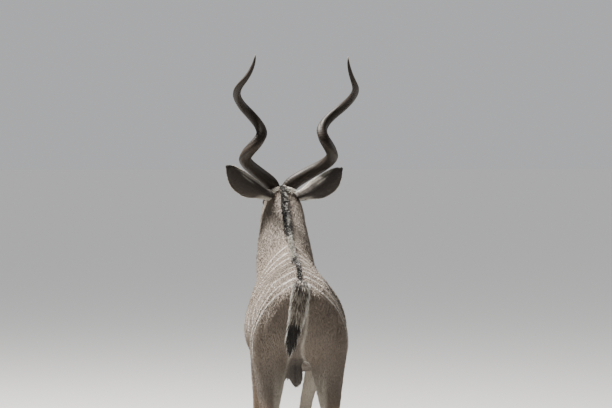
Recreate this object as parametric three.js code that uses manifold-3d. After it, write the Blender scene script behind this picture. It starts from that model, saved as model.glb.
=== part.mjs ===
// A greater kudu bull, standing at life size, with its neck raised and its head turned a little to its left.
// Millimetres. +Z is up, +Y is the way the body faces and +X is the animal's right side.
// Each part of the body is lofted through named sections, joined where the flesh is continuous, and parted by thin cuts.

import * as THREE from 'three';
import { mergeVertices } from 'three/addons/utils/BufferGeometryUtils.js';
import Module from 'manifold-3d';

const wasm = await Module();
wasm.setup();

// Driving sizes of the whole animal.
const GAP = 0.3; // space left between two parts that touch
const WITHERS_HEIGHT = 1412; // skin over the shoulder blades, under the crest
const CROUP_HEIGHT = 1324;
const TAIL_HEAD_HEIGHT = 1238;
const CHEST_FLOOR = 733;
const BARREL_HALF_WIDTH = 268;
const HEAD_SWAY = -34; // how far the neck and head stand to the animal's left of the straight spine
const HEAD_PIVOT = new THREE.Vector3(HEAD_SWAY, 930, 1610); // joint of skull and neck
const HEAD_PITCH = 36; // muzzle below the horizontal, in degrees
const HEAD_YAW = 11; // muzzle to the animal's left
const HEAD_ROLL = 1.5; // right ear lower
const HOOF_HEIGHT = 62;
const HORN_RISE = 682; // from the poll to the tips

// Materials.
const material = (color, roughness, metalness = 0) => new THREE.MeshStandardMaterial({ color, roughness, metalness });
const coat = material(0x8f857a, 0.9);
const darkCoat = material(0x4b443d, 0.9);
const legCoat = material(0x9a8467, 0.9);
const tailCoat = material(0x6d665e, 0.95);
const hornSheath = material(0x2e2822, 0.45);
const hoofHorn = material(0x1f1c1a, 0.5);
const eyeball = material(0x120d09, 0.08);

// Small helpers.
const rad = THREE.MathUtils.degToRad;
const clamp = THREE.MathUtils.clamp;
const mix = THREE.MathUtils.lerp;
const smooth = THREE.MathUtils.smoothstep;
const vec = (x, y, z) => new THREE.Vector3(x, y, z);
const sides = [{ name: 'left', sign: -1 }, { name: 'right', sign: 1 }];

// A power of a number between -1 and 1 that keeps its sign.
const bent = (value, power) => Math.sign(value) * Math.abs(value) ** power;

// Reads a row of sections, each an object of numbers, as smooth curves of t from 0 to 1.
function through(rows) {
  const keys = Object.keys(rows[0]);
  return (t) => {
    const s = clamp(t, 0, 1) * (rows.length - 1);
    const i = Math.min(Math.floor(s), rows.length - 2);
    const f = s - i;
    const near = [-1, 0, 1, 2].map((k) => rows[clamp(i + k, 0, rows.length - 1)]);
    return Object.fromEntries(keys.map((key) => {
      const [a, b, c, d] = near.map((row) => row[key]);
      const slopeIn = (c - a) / 2;
      const slopeOut = (d - b) / 2;
      const cubic = 2 * (b - c) + slopeIn + slopeOut;
      const square = 3 * (c - b) - 2 * slopeIn - slopeOut;
      return [key, ((cubic * f + square) * f + slopeIn) * f + b];
    }));
  };
}

// A closed tube of `around` by `along` faces. place(t, angle, share) gives the point at t along it, at an angle round
// its section, where share is 1 on the wall and 0 in the middle of an end.
function tube(around, along, place) {
  const cylinder = new THREE.CylinderGeometry(1, 1, 1, around, along);
  cylinder.deleteAttribute('normal');
  cylinder.deleteAttribute('uv');
  const geometry = mergeVertices(cylinder);
  const position = geometry.attributes.position;
  for (let i = 0; i < position.count; i += 1) {
    const share = Math.round(Math.hypot(position.getX(i), position.getZ(i)));
    const angle = Math.atan2(position.getZ(i), position.getX(i));
    const point = place(position.getY(i) + 0.5, angle, share);
    position.setXYZ(i, point.x, point.y, point.z);
  }
  return geometry;
}

// The corners of the triangles that still have three of them once an end has closed to a point.
function wholeTriangles(corners) {
  const kept = [];
  for (let i = 0; i < corners.length; i += 3) {
    const [a, b, c] = corners.slice(i, i + 3);
    if (a !== b && b !== c && c !== a) kept.push(a, b, c);
  }
  return Uint32Array.from(kept);
}

// A three.js geometry as a solid, turned so that its faces point out.
function solidOf(geometry, matrix) {
  const source = geometry.clone();
  source.deleteAttribute('normal');
  source.deleteAttribute('uv');
  if (matrix) source.applyMatrix4(matrix);
  const merged = mergeVertices(source);
  const index = wholeTriangles(merged.index.array);
  const vertices = Float32Array.from(merged.attributes.position.array);
  const corner = (i) => new THREE.Vector3().fromArray(vertices, 3 * index[i]);
  let volume = 0;
  for (let i = 0; i < index.length; i += 3) volume += corner(i).dot(corner(i + 1).cross(corner(i + 2)));
  if (volume < 0) {
    for (let i = 0; i < index.length; i += 3) [index[i], index[i + 1]] = [index[i + 1], index[i]];
  }
  return new wasm.Manifold(new wasm.Mesh({ numProp: 3, vertProperties: vertices, triVerts: index }));
}

const joined = (solids) => wasm.Manifold.union(solids);
const volumeOf = (solid) => solid.volume();
const largest = (solid) => solid.decompose().sort((a, b) => volumeOf(b) - volumeOf(a))[0];

// The side of a plane that its normal points to, half a gap clear of the plane.
function beyond(solid, normal, point) {
  const n = normal.clone().normalize();
  return solid.trimByPlane(n.toArray(), n.dot(point) + GAP / 2);
}

function ellipsoid(centre, radii, matrix, faces = 10) {
  const ball = new THREE.SphereGeometry(1, faces, Math.round(faces * 0.7));
  ball.scale(...radii).translate(...centre);
  return solidOf(ball, matrix);
}

// The forehand stands a little to the left of the hindquarters, and the head more so.
const sway = (y) => HEAD_SWAY * smooth(y, 0, 800);

// Torso: upright sections from the buttocks to the brisket.
const torsoRows = [
  { y: -698, top: 1160, mid: 1106, low: 1056, half: 40 },
  { y: -686, top: 1198, mid: 1105, low: 1008, half: 88 },
  { y: -650, top: TAIL_HEAD_HEIGHT, mid: 1100, low: 950, half: 132 },
  { y: -590, top: 1268, mid: 1095, low: 895, half: 166 },
  { y: -500, top: 1304, mid: 1085, low: 850, half: 192 },
  { y: -400, top: CROUP_HEIGHT, mid: 1065, low: 818, half: 210 },
  { y: -300, top: 1327, mid: 1035, low: 790, half: 228 },
  { y: -190, top: 1321, mid: 1000, low: 767, half: 252 },
  { y: -60, top: 1319, mid: 966, low: 748, half: BARREL_HALF_WIDTH - 2 },
  { y: 70, top: 1326, mid: 955, low: 738, half: BARREL_HALF_WIDTH },
  { y: 190, top: 1347, mid: 958, low: CHEST_FLOOR, half: 254 },
  { y: 300, top: 1382, mid: 975, low: CHEST_FLOOR, half: 227 },
  { y: 395, top: WITHERS_HEIGHT, mid: 1000, low: 742, half: 200 },
  { y: 480, top: 1400, mid: 1015, low: 768, half: 186 },
  { y: 560, top: 1335, mid: 1020, low: 815, half: 170 },
  { y: 625, top: 1240, mid: 1020, low: 868, half: 136 },
  { y: 664, top: 1140, mid: 1015, low: 925, half: 86 },
  { y: 678, top: 1070, mid: 1012, low: 965, half: 38 },
];
const torsoAt = through(torsoRows);
const RIDGE_POWER = 1.55; // above 1 narrows the back towards the spine
const torsoLoft = (grow = 0) => tube(22, 24, (t, angle, share) => {
  const row = torsoAt(t);
  const across = bent(Math.cos(angle), Math.sin(angle) > 0 ? RIDGE_POWER : 0.94);
  const rise = Math.sin(angle) > 0 ? row.top - row.mid : row.mid - row.low;
  const wall = share * (1 + grow / row.half);
  const end = grow * (2 * t - 1);
  return vec(sway(row.y) + across * row.half * wall, row.y + end, row.mid + Math.sin(angle) * (rise + grow) * share);
});

// Neck: slanted sections, each from a point on the nape to a point on the throat.
const neckRows = [
  { topY: 330, topZ: 1350, lowY: 590, lowZ: 880, half: 140 },
  { topY: 415, topZ: 1412, lowY: 684, lowZ: 985, half: 160 },
  { topY: 500, topZ: 1436, lowY: 735, lowZ: 1076, half: 158 },
  { topY: 590, topZ: 1468, lowY: 785, lowZ: 1162, half: 153 },
  { topY: 680, topZ: 1510, lowY: 834, lowZ: 1244, half: 145 },
  { topY: 765, topZ: 1562, lowY: 880, lowZ: 1326, half: 134 },
  { topY: 838, topZ: 1612, lowY: 920, lowZ: 1398, half: 120 },
  { topY: 892, topZ: 1648, lowY: 952, lowZ: 1455, half: 108 },
  { topY: 950, topZ: 1656, lowY: 985, lowZ: 1508, half: 91 },
];
const neckAt = through(neckRows);
const neckLoft = tube(20, 14, (t, angle, share) => {
  const row = neckAt(t);
  const centre = 0.46; // where the neck is widest, from the throat up
  const height = Math.sin(angle) > 0 ? 1 - centre : centre;
  const up = centre + Math.sin(angle) * height * share;
  const across = bent(Math.cos(angle), Math.sin(angle) > 0 ? 1.15 : 1) * row.half * share;
  const y = mix(row.lowY, row.topY, up);
  return vec(sway(y) + across, y, mix(row.lowZ, row.topZ, up));
});

// The head stands in its own frame: +Y along the face before it is pitched down, with the pivot as its origin.
const headFrame = new THREE.Matrix4()
  .makeTranslation(HEAD_PIVOT)
  .multiply(new THREE.Matrix4().makeRotationZ(rad(HEAD_YAW)))
  .multiply(new THREE.Matrix4().makeRotationY(rad(HEAD_ROLL)));
const faceFrame = headFrame.clone().multiply(new THREE.Matrix4().makeRotationX(rad(-HEAD_PITCH)));
const onFace = (point) => point.applyMatrix4(faceFrame);
const onHead = (point) => point.applyMatrix4(headFrame);

const headRows = [
  { y: -64, top: 14, mid: -16, low: -52, half: 48 },
  { y: -44, top: 42, mid: -18, low: -80, half: 74 },
  { y: 0, top: 62, mid: -16, low: -102, half: 88 },
  { y: 45, top: 69, mid: -10, low: -113, half: 88 },
  { y: 90, top: 67, mid: 0, low: -112, half: 82 },
  { y: 135, top: 57, mid: -4, low: -102, half: 68 },
  { y: 180, top: 46, mid: -10, low: -91, half: 55 },
  { y: 225, top: 37, mid: -13, low: -81, half: 47 },
  { y: 270, top: 30, mid: -15, low: -72, half: 42 },
  { y: 312, top: 25, mid: -16, low: -66, half: 41 },
  { y: 348, top: 19, mid: -18, low: -61, half: 42 },
  { y: 374, top: 9, mid: -20, low: -54, half: 38 },
  { y: 389, top: -4, mid: -22, low: -44, half: 27 },
  { y: 395, top: -13, mid: -23, low: -34, half: 13 },
];
const headAt = through(headRows);
const headLoft = (grow = 0) => tube(18, 20, (t, angle, share) => {
  const row = headAt(t);
  const upper = Math.sin(angle) > 0;
  const across = bent(Math.cos(angle), upper ? 0.86 : 1.1) * (row.half + grow);
  const rise = (upper ? row.top - row.mid : row.mid - row.low) + grow;
  return onFace(vec(across * share, row.y + grow * (2 * t - 1), row.mid + Math.sin(angle) * rise * share));
});

const EYE = { x: 63, y: 102, z: 24, radius: 20.5 };
const eyeBall = (sign, grow = 0) => ellipsoid(
  [sign * EYE.x, EYE.y, EYE.z], [EYE.radius + grow, EYE.radius + grow, EYE.radius + grow], faceFrame, 12);

// Lids: a raised almond ring about each eye.
function lids(sign) {
  const ring = new THREE.TorusGeometry(20, 5.5, 5, 12);
  ring.scale(1.22, 0.86, 1.15);
  ring.rotateY(rad(sign * 78)).rotateX(rad(-10)).translate(sign * (EYE.x + 10), EYE.y, EYE.z + 1);
  return solidOf(ring, faceFrame);
}

// The mouth is a fine groove round the muzzle, above a set-back lower lip.
function mouthLine() {
  const slot = new THREE.BoxGeometry(130, 104, 2.6);
  slot.rotateX(rad(3)).translate(0, 356, -38);
  return solidOf(slot, faceFrame).subtract(solidOf(headLoft(-7)));
}

function nostril(sign) {
  const hole = new THREE.SphereGeometry(1, 8, 5);
  hole.scale(5.5, 15, 8).rotateZ(rad(sign * 38)).rotateX(rad(-30)).translate(sign * 27, 375, -3);
  return solidOf(hole, faceFrame);
}

function headFlesh() {
  const parts = [solidOf(headLoft())];
  parts.push(ellipsoid([0, 352, -50], [26, 32, 17], faceFrame, 8)); // chin and lower lip
  for (const { sign } of sides) {
    parts.push(ellipsoid([sign * 50, 42, -52], [36, 62, 54], faceFrame, 9)); // cheek
    parts.push(ellipsoid([sign * 56, 98, 39], [22, 46, 13], faceFrame, 8)); // brow over the eye
    parts.push(ellipsoid([sign * 19, 356, -16], [27, 34, 24], faceFrame, 8)); // upper lip and nostril pad
    parts.push(lids(sign));
  }
  return joined(parts).subtract(mouthLine());
}

// Ears: a leaf-shaped cup, its hollow facing forward and out.
const EAR = {
  turn: 14, // the tips of both ears stand this much to the animal's left
  root: vec(72, -48, -4), tip: vec(320, -92, 158), halfWidth: 62, lowerLobe: 26, depth: 44, wall: 3.2, rootWall: 20,
};
const earRows = through([
  { width: 0.42, depth: 0.2, wall: 1 },
  { width: 0.5, depth: 0.62, wall: 0.8 },
  { width: 0.68, depth: 1, wall: 0.42 },
  { width: 0.9, depth: 1, wall: 0.12 },
  { width: 1, depth: 0.9, wall: 0 },
  { width: 0.98, depth: 0.78, wall: 0 },
  { width: 0.84, depth: 0.62, wall: 0 },
  { width: 0.58, depth: 0.42, wall: 0 },
  { width: 0.28, depth: 0.2, wall: 0 },
  { width: 0.05, depth: 0.03, wall: 0 },
]);
function earSolid(sign) {
  const root = EAR.root.clone();
  const axis = EAR.tip.clone().sub(root).add(vec(-sign * EAR.turn, 0, 0));
  const length = axis.length();
  axis.normalize();
  const back = vec(0.16, -1, 0.1);
  back.addScaledVector(axis, -back.dot(axis)).normalize();
  const across = vec(0, 0, 0).crossVectors(axis, back); // towards the lower edge
  return solidOf(tube(12, 13, (t, angle, share) => {
    const row = earRows(t);
    const over = Math.cos(angle) * share;
    const wall = EAR.wall + EAR.rootWall * Math.max(row.wall, 0);
    const cup = EAR.depth * row.depth * (1 - over * over) - EAR.depth * row.depth * 0.4;
    const lobe = EAR.lowerLobe * Math.sin(Math.PI * t) ** 1.4;
    const point = root.clone()
      .addScaledVector(axis, length * t)
      .addScaledVector(across, over * EAR.halfWidth * row.width + lobe)
      .addScaledVector(back, cup + Math.sin(angle) * wall * share);
    point.x *= sign;
    return onHead(point);
  }));
}

// Horns: an open corkscrew that leans back and spreads, with a keel on the outside of its turns.
const hornRows = [
  { rise: -62, x: 42, y: 26, turn: 100, swing: 34, radius: 41 },
  { rise: -8, x: 54, y: -6, turn: 88, swing: 42, radius: 39 },
  { rise: 52, x: 100, y: -42, turn: 50, swing: 56, radius: 36 },
  { rise: 118, x: 157, y: -80, turn: 0, swing: 64, radius: 33 },
  { rise: 204, x: 200, y: -128, turn: -88, swing: 66, radius: 30.5 },
  { rise: 292, x: 234, y: -174, turn: -180, swing: 64, radius: 28 },
  { rise: 392, x: 250, y: -224, turn: -270, swing: 64, radius: 24.5 },
  { rise: 494, x: 257, y: -270, turn: -358, swing: 59, radius: 19.5 },
  { rise: 562, x: 259, y: -306, turn: -412, swing: 44, radius: 14 },
  { rise: 630, x: 256, y: -340, turn: -446, swing: 25, radius: 8.5 },
  { rise: HORN_RISE, x: 252, y: -366, turn: -466, swing: 8, radius: 2 },
];
const hornAt = through(hornRows);
const POLL_RISE = 68; // the poll above the pivot
function hornCentre(t) {
  const row = hornAt(t);
  const turn = rad(row.turn);
  return vec(row.x + row.swing * Math.cos(turn), row.y + row.swing * Math.sin(turn), row.rise + POLL_RISE);
}
function hornSolid(sign) {
  return solidOf(tube(10, 32, (t, angle, share) => {
    const row = hornAt(t);
    const centre = hornCentre(t);
    const along = hornCentre(Math.min(t + 0.01, 1)).sub(hornCentre(Math.max(t - 0.01, 0))).normalize();
    const outward = vec(Math.cos(rad(row.turn)), Math.sin(rad(row.turn)), 0);
    outward.addScaledVector(along, -outward.dot(along)).normalize();
    const across = vec(0, 0, 0).crossVectors(along, outward);
    const keel = 1 + 0.26 * Math.max(Math.cos(angle), 0) ** 6 - 0.06 * Math.cos(2 * angle);
    const point = centre
      .addScaledVector(outward, Math.cos(angle) * row.radius * keel * share)
      .addScaledVector(across, Math.sin(angle) * row.radius * keel * share);
    point.x *= sign;
    return onHead(point);
  }));
}

// Legs: level sections from high in the body down to the coronet.
const HOOF_TOP = HOOF_HEIGHT + GAP;
const hindRows = [
  { z: 1235, x: 84, y: -474, wide: 44, long: 86 },
  { z: 1170, x: 102, y: -482, wide: 66, long: 150 },
  { z: 1090, x: 118, y: -488, wide: 92, long: 194 },
  { z: 1000, x: 131, y: -480, wide: 109, long: 204 },
  { z: 920, x: 139, y: -462, wide: 111, long: 190 },
  { z: 850, x: 142, y: -456, wide: 98, long: 162 },
  { z: 780, x: 144, y: -470, wide: 83, long: 130 },
  { z: 710, x: 146, y: -500, wide: 68, long: 102 },
  { z: 645, x: 149, y: -540, wide: 56, long: 80 },
  { z: 590, x: 150, y: -578, wide: 46, long: 63 },
  { z: 545, x: 151, y: -612, wide: 40, long: 54 },
  { z: 500, x: 151, y: -636, wide: 40, long: 50 },
  { z: 455, x: 151, y: -638, wide: 36, long: 42 },
  { z: 400, x: 151, y: -630, wide: 28, long: 33 },
  { z: 310, x: 152, y: -620, wide: 25, long: 29 },
  { z: 220, x: 152, y: -611, wide: 25, long: 30 },
  { z: 165, x: 152, y: -605, wide: 30, long: 37 },
  { z: 130, x: 152, y: -597, wide: 32, long: 38 },
  { z: 95, x: 152, y: -580, wide: 29, long: 33 },
  { z: HOOF_TOP, x: 152, y: -562, wide: 35, long: 37 },
];
const foreRows = [
  { z: 1325, x: 68, y: 392, wide: 34, long: 62 },
  { z: 1250, x: 92, y: 412, wide: 54, long: 104 },
  { z: 1150, x: 124, y: 448, wide: 66, long: 140 },
  { z: 1060, x: 143, y: 474, wide: 71, long: 156 },
  { z: 980, x: 152, y: 464, wide: 70, long: 146 },
  { z: 900, x: 156, y: 426, wide: 64, long: 120 },
  { z: 830, x: 155, y: 394, wide: 58, long: 94 },
  { z: 760, x: 153, y: 382, wide: 50, long: 70 },
  { z: 680, x: 151, y: 384, wide: 44, long: 56 },
  { z: 590, x: 150, y: 390, wide: 37, long: 46 },
  { z: 500, x: 149, y: 396, wide: 34, long: 40 },
  { z: 445, x: 149, y: 400, wide: 38, long: 42 },
  { z: 395, x: 149, y: 398, wide: 35, long: 38 },
  { z: 340, x: 149, y: 393, wide: 26, long: 29 },
  { z: 230, x: 149, y: 388, wide: 24, long: 29 },
  { z: 165, x: 149, y: 386, wide: 30, long: 36 },
  { z: 128, x: 149, y: 392, wide: 31, long: 37 },
  { z: 94, x: 149, y: 408, wide: 29, long: 32 },
  { z: HOOF_TOP, x: 149, y: 424, wide: 35, long: 37 },
];
const STEP_IN = 74; // the right forefoot stands this much nearer the midline than the left
const legs = [];
for (const side of sides) {
  legs.push({ name: `hind_${side.name}`, sign: side.sign, rows: hindRows, shift: () => 0, cut: [862, 0.4] });
  const stepIn = side.sign > 0 ? STEP_IN : -8;
  const shift = (z) => sway(400) - side.sign * stepIn * (1 - smooth(z, 430, 900));
  legs.push({ name: `fore_${side.name}`, sign: side.sign, rows: foreRows, shift, cut: [850, 0.25] });
}

const legLoft = (leg, grow = 0) => tube(12, 25, (t, angle, share) => {
  const row = through(leg.rows)(t);
  const x = leg.sign * row.x + leg.shift(row.z) + Math.cos(angle) * (row.wide + grow) * share;
  return vec(x, row.y + Math.sin(angle) * (row.long + grow) * share, row.z);
});

// The plane that parts a leg from the body slopes up and outwards from the midline.
function legPlane(leg) {
  const [height, slope] = leg.cut;
  return { normal: vec(-leg.sign * slope, 0, 1), point: vec(leg.shift(height), 0, height) };
}

// Hooves: two claws a foot, each pointed in front, and two dew claws behind the fetlock.
const CLAW = { spread: 19.5, half: 17.6, long: 44, front: 12 };
function claw(leg, inner) {
  const foot = leg.rows[leg.rows.length - 1];
  const x = leg.sign * foot.x + leg.shift(0) + inner * CLAW.spread;
  return solidOf(tube(10, 2, (t, angle, share) => {
    const flare = mix(0.86, 1, t);
    const nose = 1 - 0.5 * Math.max(Math.sin(angle), 0) ** 2.2;
    const lean = inner * -5 * Math.max(Math.sin(angle), 0) * t;
    const long = mix(34, CLAW.long, t) * (Math.sin(angle) > 0 ? 1 : 0.8);
    return vec(
      x + (Math.cos(angle) * CLAW.half * flare * nose + lean) * share,
      foot.y + CLAW.front * t + Math.sin(angle) * long * share,
      HOOF_HEIGHT * (1 - t) + (1 - t) * Math.min(Math.sin(angle), 0) * 16 * share);
  }));
}
function dewClaw(leg, inner) {
  const row = leg.rows[leg.rows.length - 3];
  const x = leg.sign * row.x + leg.shift(0) + inner * 17;
  const turn = new THREE.Matrix4().makeTranslation(x, row.y - 33, row.z - 12);
  turn.multiply(new THREE.Matrix4().makeRotationX(rad(-24)));
  return ellipsoid([0, 0, 0], [9, 9, 17], turn, 6);
}

// Tail: a core that leaves the croup, falls behind the thighs and swings a little to the left.
const tailRows = through([
  { x: 0, y: -628, z: 1236, wide: 26, deep: 20 },
  { x: 0, y: -690, z: 1230, wide: 30, deep: 21 },
  { x: -8, y: -728, z: 1186, wide: 29, deep: 18 },
  { x: -24, y: -741, z: 1124, wide: 25, deep: 15 },
  { x: -40, y: -740, z: 1062, wide: 19, deep: 12 },
  { x: -52, y: -734, z: 1006, wide: 10, deep: 7 },
]);
const tailPoint = (t) => {
  const row = tailRows(t);
  return vec(row.x, row.y, row.z);
};
const tailLoft = (grow = 0) => tube(8, 9, (t, angle, share) => {
  const row = tailRows(t);
  const along = tailPoint(Math.min(t + 0.02, 1)).sub(tailPoint(Math.max(t - 0.02, 0))).normalize();
  const across = vec(1, 0, 0);
  const outer = vec(0, 0, 0).crossVectors(along, across).normalize();
  return tailPoint(t)
    .addScaledVector(across, Math.cos(angle) * (row.wide + grow) * share)
    .addScaledVector(outer, Math.sin(angle) * (row.deep + grow) * share);
});

// A lock of hair: flat, tapered and bent along its lie, with its root sunk in the skin.
function lock({ root, lie, flat, length, wide, thick, bend, sunk = 0.2 }) {
  const along = lie.clone().normalize();
  const across = flat.clone().addScaledVector(along, -flat.dot(along)).normalize();
  const out = vec(0, 0, 0).crossVectors(across, along);
  return solidOf(tube(4, 3, (t, angle, share) => {
    const reach = mix(-sunk, 1, t);
    const taper = 1 - Math.max(reach, 0) ** 2.3;
    return root.clone()
      .addScaledVector(along, length * reach)
      .addScaledVector(bend, length * Math.max(reach, 0) ** 2)
      .addScaledVector(across, Math.cos(angle) * wide * taper * share)
      .addScaledVector(out, Math.sin(angle) * thick * taper * share);
  }));
}

// A seeded draw from -1 to 1.
let seed = 7;
function draw() {
  seed = (seed * 16807) % 2147483647;
  return (seed / 2147483647) * 2 - 1;
}

// Mane: upright locks along the nape, leaning back and falling over to the right.
const MANE = { count: 18, length: 78, wide: 24, thick: 5 };
function mane() {
  const locks = [];
  for (let i = 0; i < MANE.count; i += 1) {
    const t = mix(0.17, 0.86, i / (MANE.count - 1));
    const row = neckAt(t);
    const next = neckAt(t + 0.02);
    const along = vec(0, next.topY - row.topY, next.topZ - row.topZ).normalize();
    const up = vec(0, -along.z, along.y);
    const fall = 0.34 + 0.22 * draw();
    const length = MANE.length * mix(1.1, 0.72, t) * (1 + 0.18 * draw());
    locks.push(lock({
      root: vec(sway(row.topY) + 4 * draw(), row.topY, row.topZ - 3),
      lie: up.clone().addScaledVector(along, -0.8).add(vec(fall, 0, 0)),
      flat: along,
      length,
      wide: MANE.wide,
      thick: MANE.thick,
      bend: vec(0.25 * fall, -0.16, -0.22),
    }));
  }
  return locks;
}

// Crest: locks along the spine, long on the withers and short on the back.
const CREST = { count: 22, from: 368, to: -610, long: 74, short: 28, wide: 28, thick: 5 };
function crest() {
  const locks = [];
  for (let i = 0; i < CREST.count; i += 1) {
    const share = i / (CREST.count - 1);
    const y = mix(CREST.from, CREST.to, share ** 0.92);
    const t = torsoT(y);
    const row = torsoAt(t);
    const length = mix(CREST.long, CREST.short, smooth(share, 0.05, 0.4)) * (1 + 0.15 * draw());
    const slope = (torsoAt(t + 0.01).top - torsoAt(t - 0.01).top) / (torsoAt(t + 0.01).y - torsoAt(t - 0.01).y);
    locks.push(lock({
      root: vec(sway(y) + 3 * draw(), y, row.top - 4),
      lie: vec(0.2 * draw() + 0.1, -1, 0.62 - slope),
      flat: vec(0, 1, slope),
      length,
      wide: CREST.wide * (0.6 + 0.4 * length / CREST.long),
      thick: CREST.thick,
      bend: vec(0.1, -0.1, -0.12),
      sunk: 0.34,
    }));
  }
  return locks;
}

// The station of the torso at a place along its length.
function torsoT(y) {
  let low = 0;
  let high = 1;
  for (let i = 0; i < 24; i += 1) {
    const middle = (low + high) / 2;
    if (torsoAt(middle).y < y) low = middle;
    else high = middle;
  }
  return (low + high) / 2;
}

// Throat fringe: long locks that hang from the underside of the neck, from the jaw to the brisket.
const FRINGE = { count: 18, length: 118, wide: 19, thick: 6 };
function throatFringe() {
  const locks = [];
  for (let i = 0; i < FRINGE.count; i += 1) {
    const t = mix(0.2, 0.88, i / (FRINGE.count - 1));
    const row = neckAt(t);
    const length = FRINGE.length * (0.72 + 0.36 * Math.sin(Math.PI * clamp(t * 1.1, 0, 1))) * (1 + 0.16 * draw());
    locks.push(lock({
      root: vec(sway(row.lowY) + 7 * (i % 2 ? 1 : -1), row.lowY - 6, row.lowZ + 7),
      lie: vec(0.12 * draw(), 0.2, -1),
      flat: vec(0.25 * draw(), 1, 0.6),
      length,
      wide: FRINGE.wide,
      thick: FRINGE.thick,
      bend: vec(0.05 * draw(), -0.2, -0.05),
    }));
  }
  return locks;
}

// Beard: the fringe goes on under the jaw to the chin.
const BEARD = { count: 9, length: 78, wide: 24, thick: 5 };
function beard() {
  const locks = [];
  const spot = through(headRows);
  for (let i = 0; i < BEARD.count; i += 1) {
    const share = i / (BEARD.count - 1);
    const row = spot(mix(0.24, 0.74, share));
    locks.push(lock({
      root: onFace(vec(5 * (i % 2 ? 1 : -1), row.y, row.low + 8)),
      lie: vec(0.1 * draw(), -0.5, -1),
      flat: vec(0.2 * draw(), 1, 0),
      length: BEARD.length * mix(1, 0.62, share) * (1 + 0.14 * draw()),
      wide: BEARD.wide,
      thick: BEARD.thick,
      bend: vec(0, -0.24, 0),
      sunk: 0.3,
    }));
  }
  return locks;
}

// Tail hair: locks down both edges and the back of the tail, longest in the tuft.
const TAIL_HAIR = { rings: 6, length: 96, wide: 17, thick: 5 };
function tailHair() {
  const locks = [];
  for (let i = 0; i < TAIL_HAIR.rings; i += 1) {
    const t = mix(0.3, 0.97, i / (TAIL_HAIR.rings - 1));
    const row = tailRows(t);
    for (const edge of [-1, 0, 1]) {
      const length = TAIL_HAIR.length * mix(0.7, 1.02, t) * (1 + 0.12 * draw());
      locks.push(lock({
        root: tailPoint(t).add(vec(edge * row.wide * 0.72, edge ? 0 : -row.deep * 0.6, 0)),
        lie: vec(edge * mix(0.42, 0.12, t), edge ? 0.02 : -0.16, -1),
        flat: vec(1, 0, 0),
        length,
        wide: TAIL_HAIR.wide,
        thick: TAIL_HAIR.thick,
        bend: vec(-edge * 0.2 - 0.05, edge ? 0 : 0.1, -0.05),
        sunk: 0.16,
      }));
    }
  }
  return locks;
}

// Assembly.
const kudu = new THREE.Group();
function add(name, solid, finish) {
  const { vertProperties, triVerts } = largest(solid).getMesh();
  const geometry = new THREE.BufferGeometry();
  geometry.setAttribute('position', new THREE.BufferAttribute(Float32Array.from(vertProperties), 3));
  geometry.setIndex(new THREE.BufferAttribute(Uint32Array.from(triVerts), 1));
  geometry.computeVertexNormals();
  const mesh = new THREE.Mesh(geometry, finish);
  mesh.name = name;
  kudu.add(mesh);
}

const torsoCore = solidOf(torsoLoft());
const torsoClear = solidOf(torsoLoft(GAP));

// The neck is cut from the torso across the withers, and from the head behind the ears.
const neckPlane = { normal: vec(0, 0.82, 0.57), point: vec(0, 556, 1200) };
const headPlane = { normal: vec(0, 0.968, 0.25), point: vec(0, 918, 1600) };
const flipped = (plane) => plane.normal.clone().negate();

const neckCore = solidOf(neckLoft);
const neckFront = beyond(neckCore, neckPlane.normal, neckPlane.point);
const neckBack = beyond(neckCore, flipped(neckPlane), neckPlane.point);

// Torso, with the tops of the legs, the purse and the sheath.
const torsoParts = [torsoCore, neckBack];
for (const leg of legs) {
  const plane = legPlane(leg);
  const top = beyond(solidOf(legLoft(leg)), plane.normal, plane.point);
  torsoParts.push(beyond(top, flipped(neckPlane), neckPlane.point));
}
torsoParts.push(ellipsoid([-14, -478, 782], [40, 40, 76]));
torsoParts.push(ellipsoid([-12, -120, 752], [20, 80, 24]));
const tailClear = solidOf(tailLoft(GAP));
add('torso', joined([...torsoParts, ...crest()]).subtract(tailClear), coat);

// Neck with mane and throat fringe.
const neckHead = joined([neckFront, headFlesh()]);
const neck = beyond(joined([neckHead, ...mane(), ...throatFringe()]), flipped(headPlane), headPlane.point);
add('neck', beyond(neck, neckPlane.normal, neckPlane.point).subtract(torsoClear), coat);

// Head with beard, eye sockets and nostrils.
let head = beyond(joined([neckHead, ...beard()]), headPlane.normal, headPlane.point);
for (const { sign } of sides) head = head.subtract(joined([eyeBall(sign, GAP), nostril(sign)]));
add('head', head, coat);
const headClear = joined([solidOf(headLoft(GAP)), largest(head)]);

for (const { name, sign } of sides) {
  add(`eye_${name}`, eyeBall(sign), eyeball);
  add(`horn_${name}`, hornSolid(sign).subtract(headClear), hornSheath);
  add(`ear_${name}`, earSolid(sign).subtract(joined([headClear, neckHead])), darkCoat);
}

for (const leg of legs) {
  const plane = legPlane(leg);
  const lower = beyond(solidOf(legLoft(leg)), flipped({ normal: plane.normal }), plane.point);
  add(`leg_${leg.name}`, lower.subtract(torsoClear), legCoat);
  const shank = solidOf(legLoft(leg, GAP));
  for (const [place, inner] of [['inner', -leg.sign], ['outer', leg.sign]]) {
    add(`claw_${leg.name}_${place}`, claw(leg, inner), hoofHorn);
    add(`dewclaw_${leg.name}_${place}`, dewClaw(leg, inner).subtract(shank), hoofHorn);
  }
}

add('tail', joined([solidOf(tailLoft()), ...tailHair()]).subtract(torsoClear), tailCoat);

// The origin is on the floor, under the middle of the whole animal.
const box = new THREE.Box3().setFromObject(kudu);
kudu.position.set(-(box.min.x + box.max.x) / 2, -(box.min.y + box.max.y) / 2, -box.min.z);
kudu.updateMatrixWorld(true);

export default kudu;
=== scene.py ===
import math

import bpy
import bmesh
import numpy as np
from mathutils import Matrix, Vector
from mathutils.bvhtree import BVHTree
from mathutils.kdtree import KDTree


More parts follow.
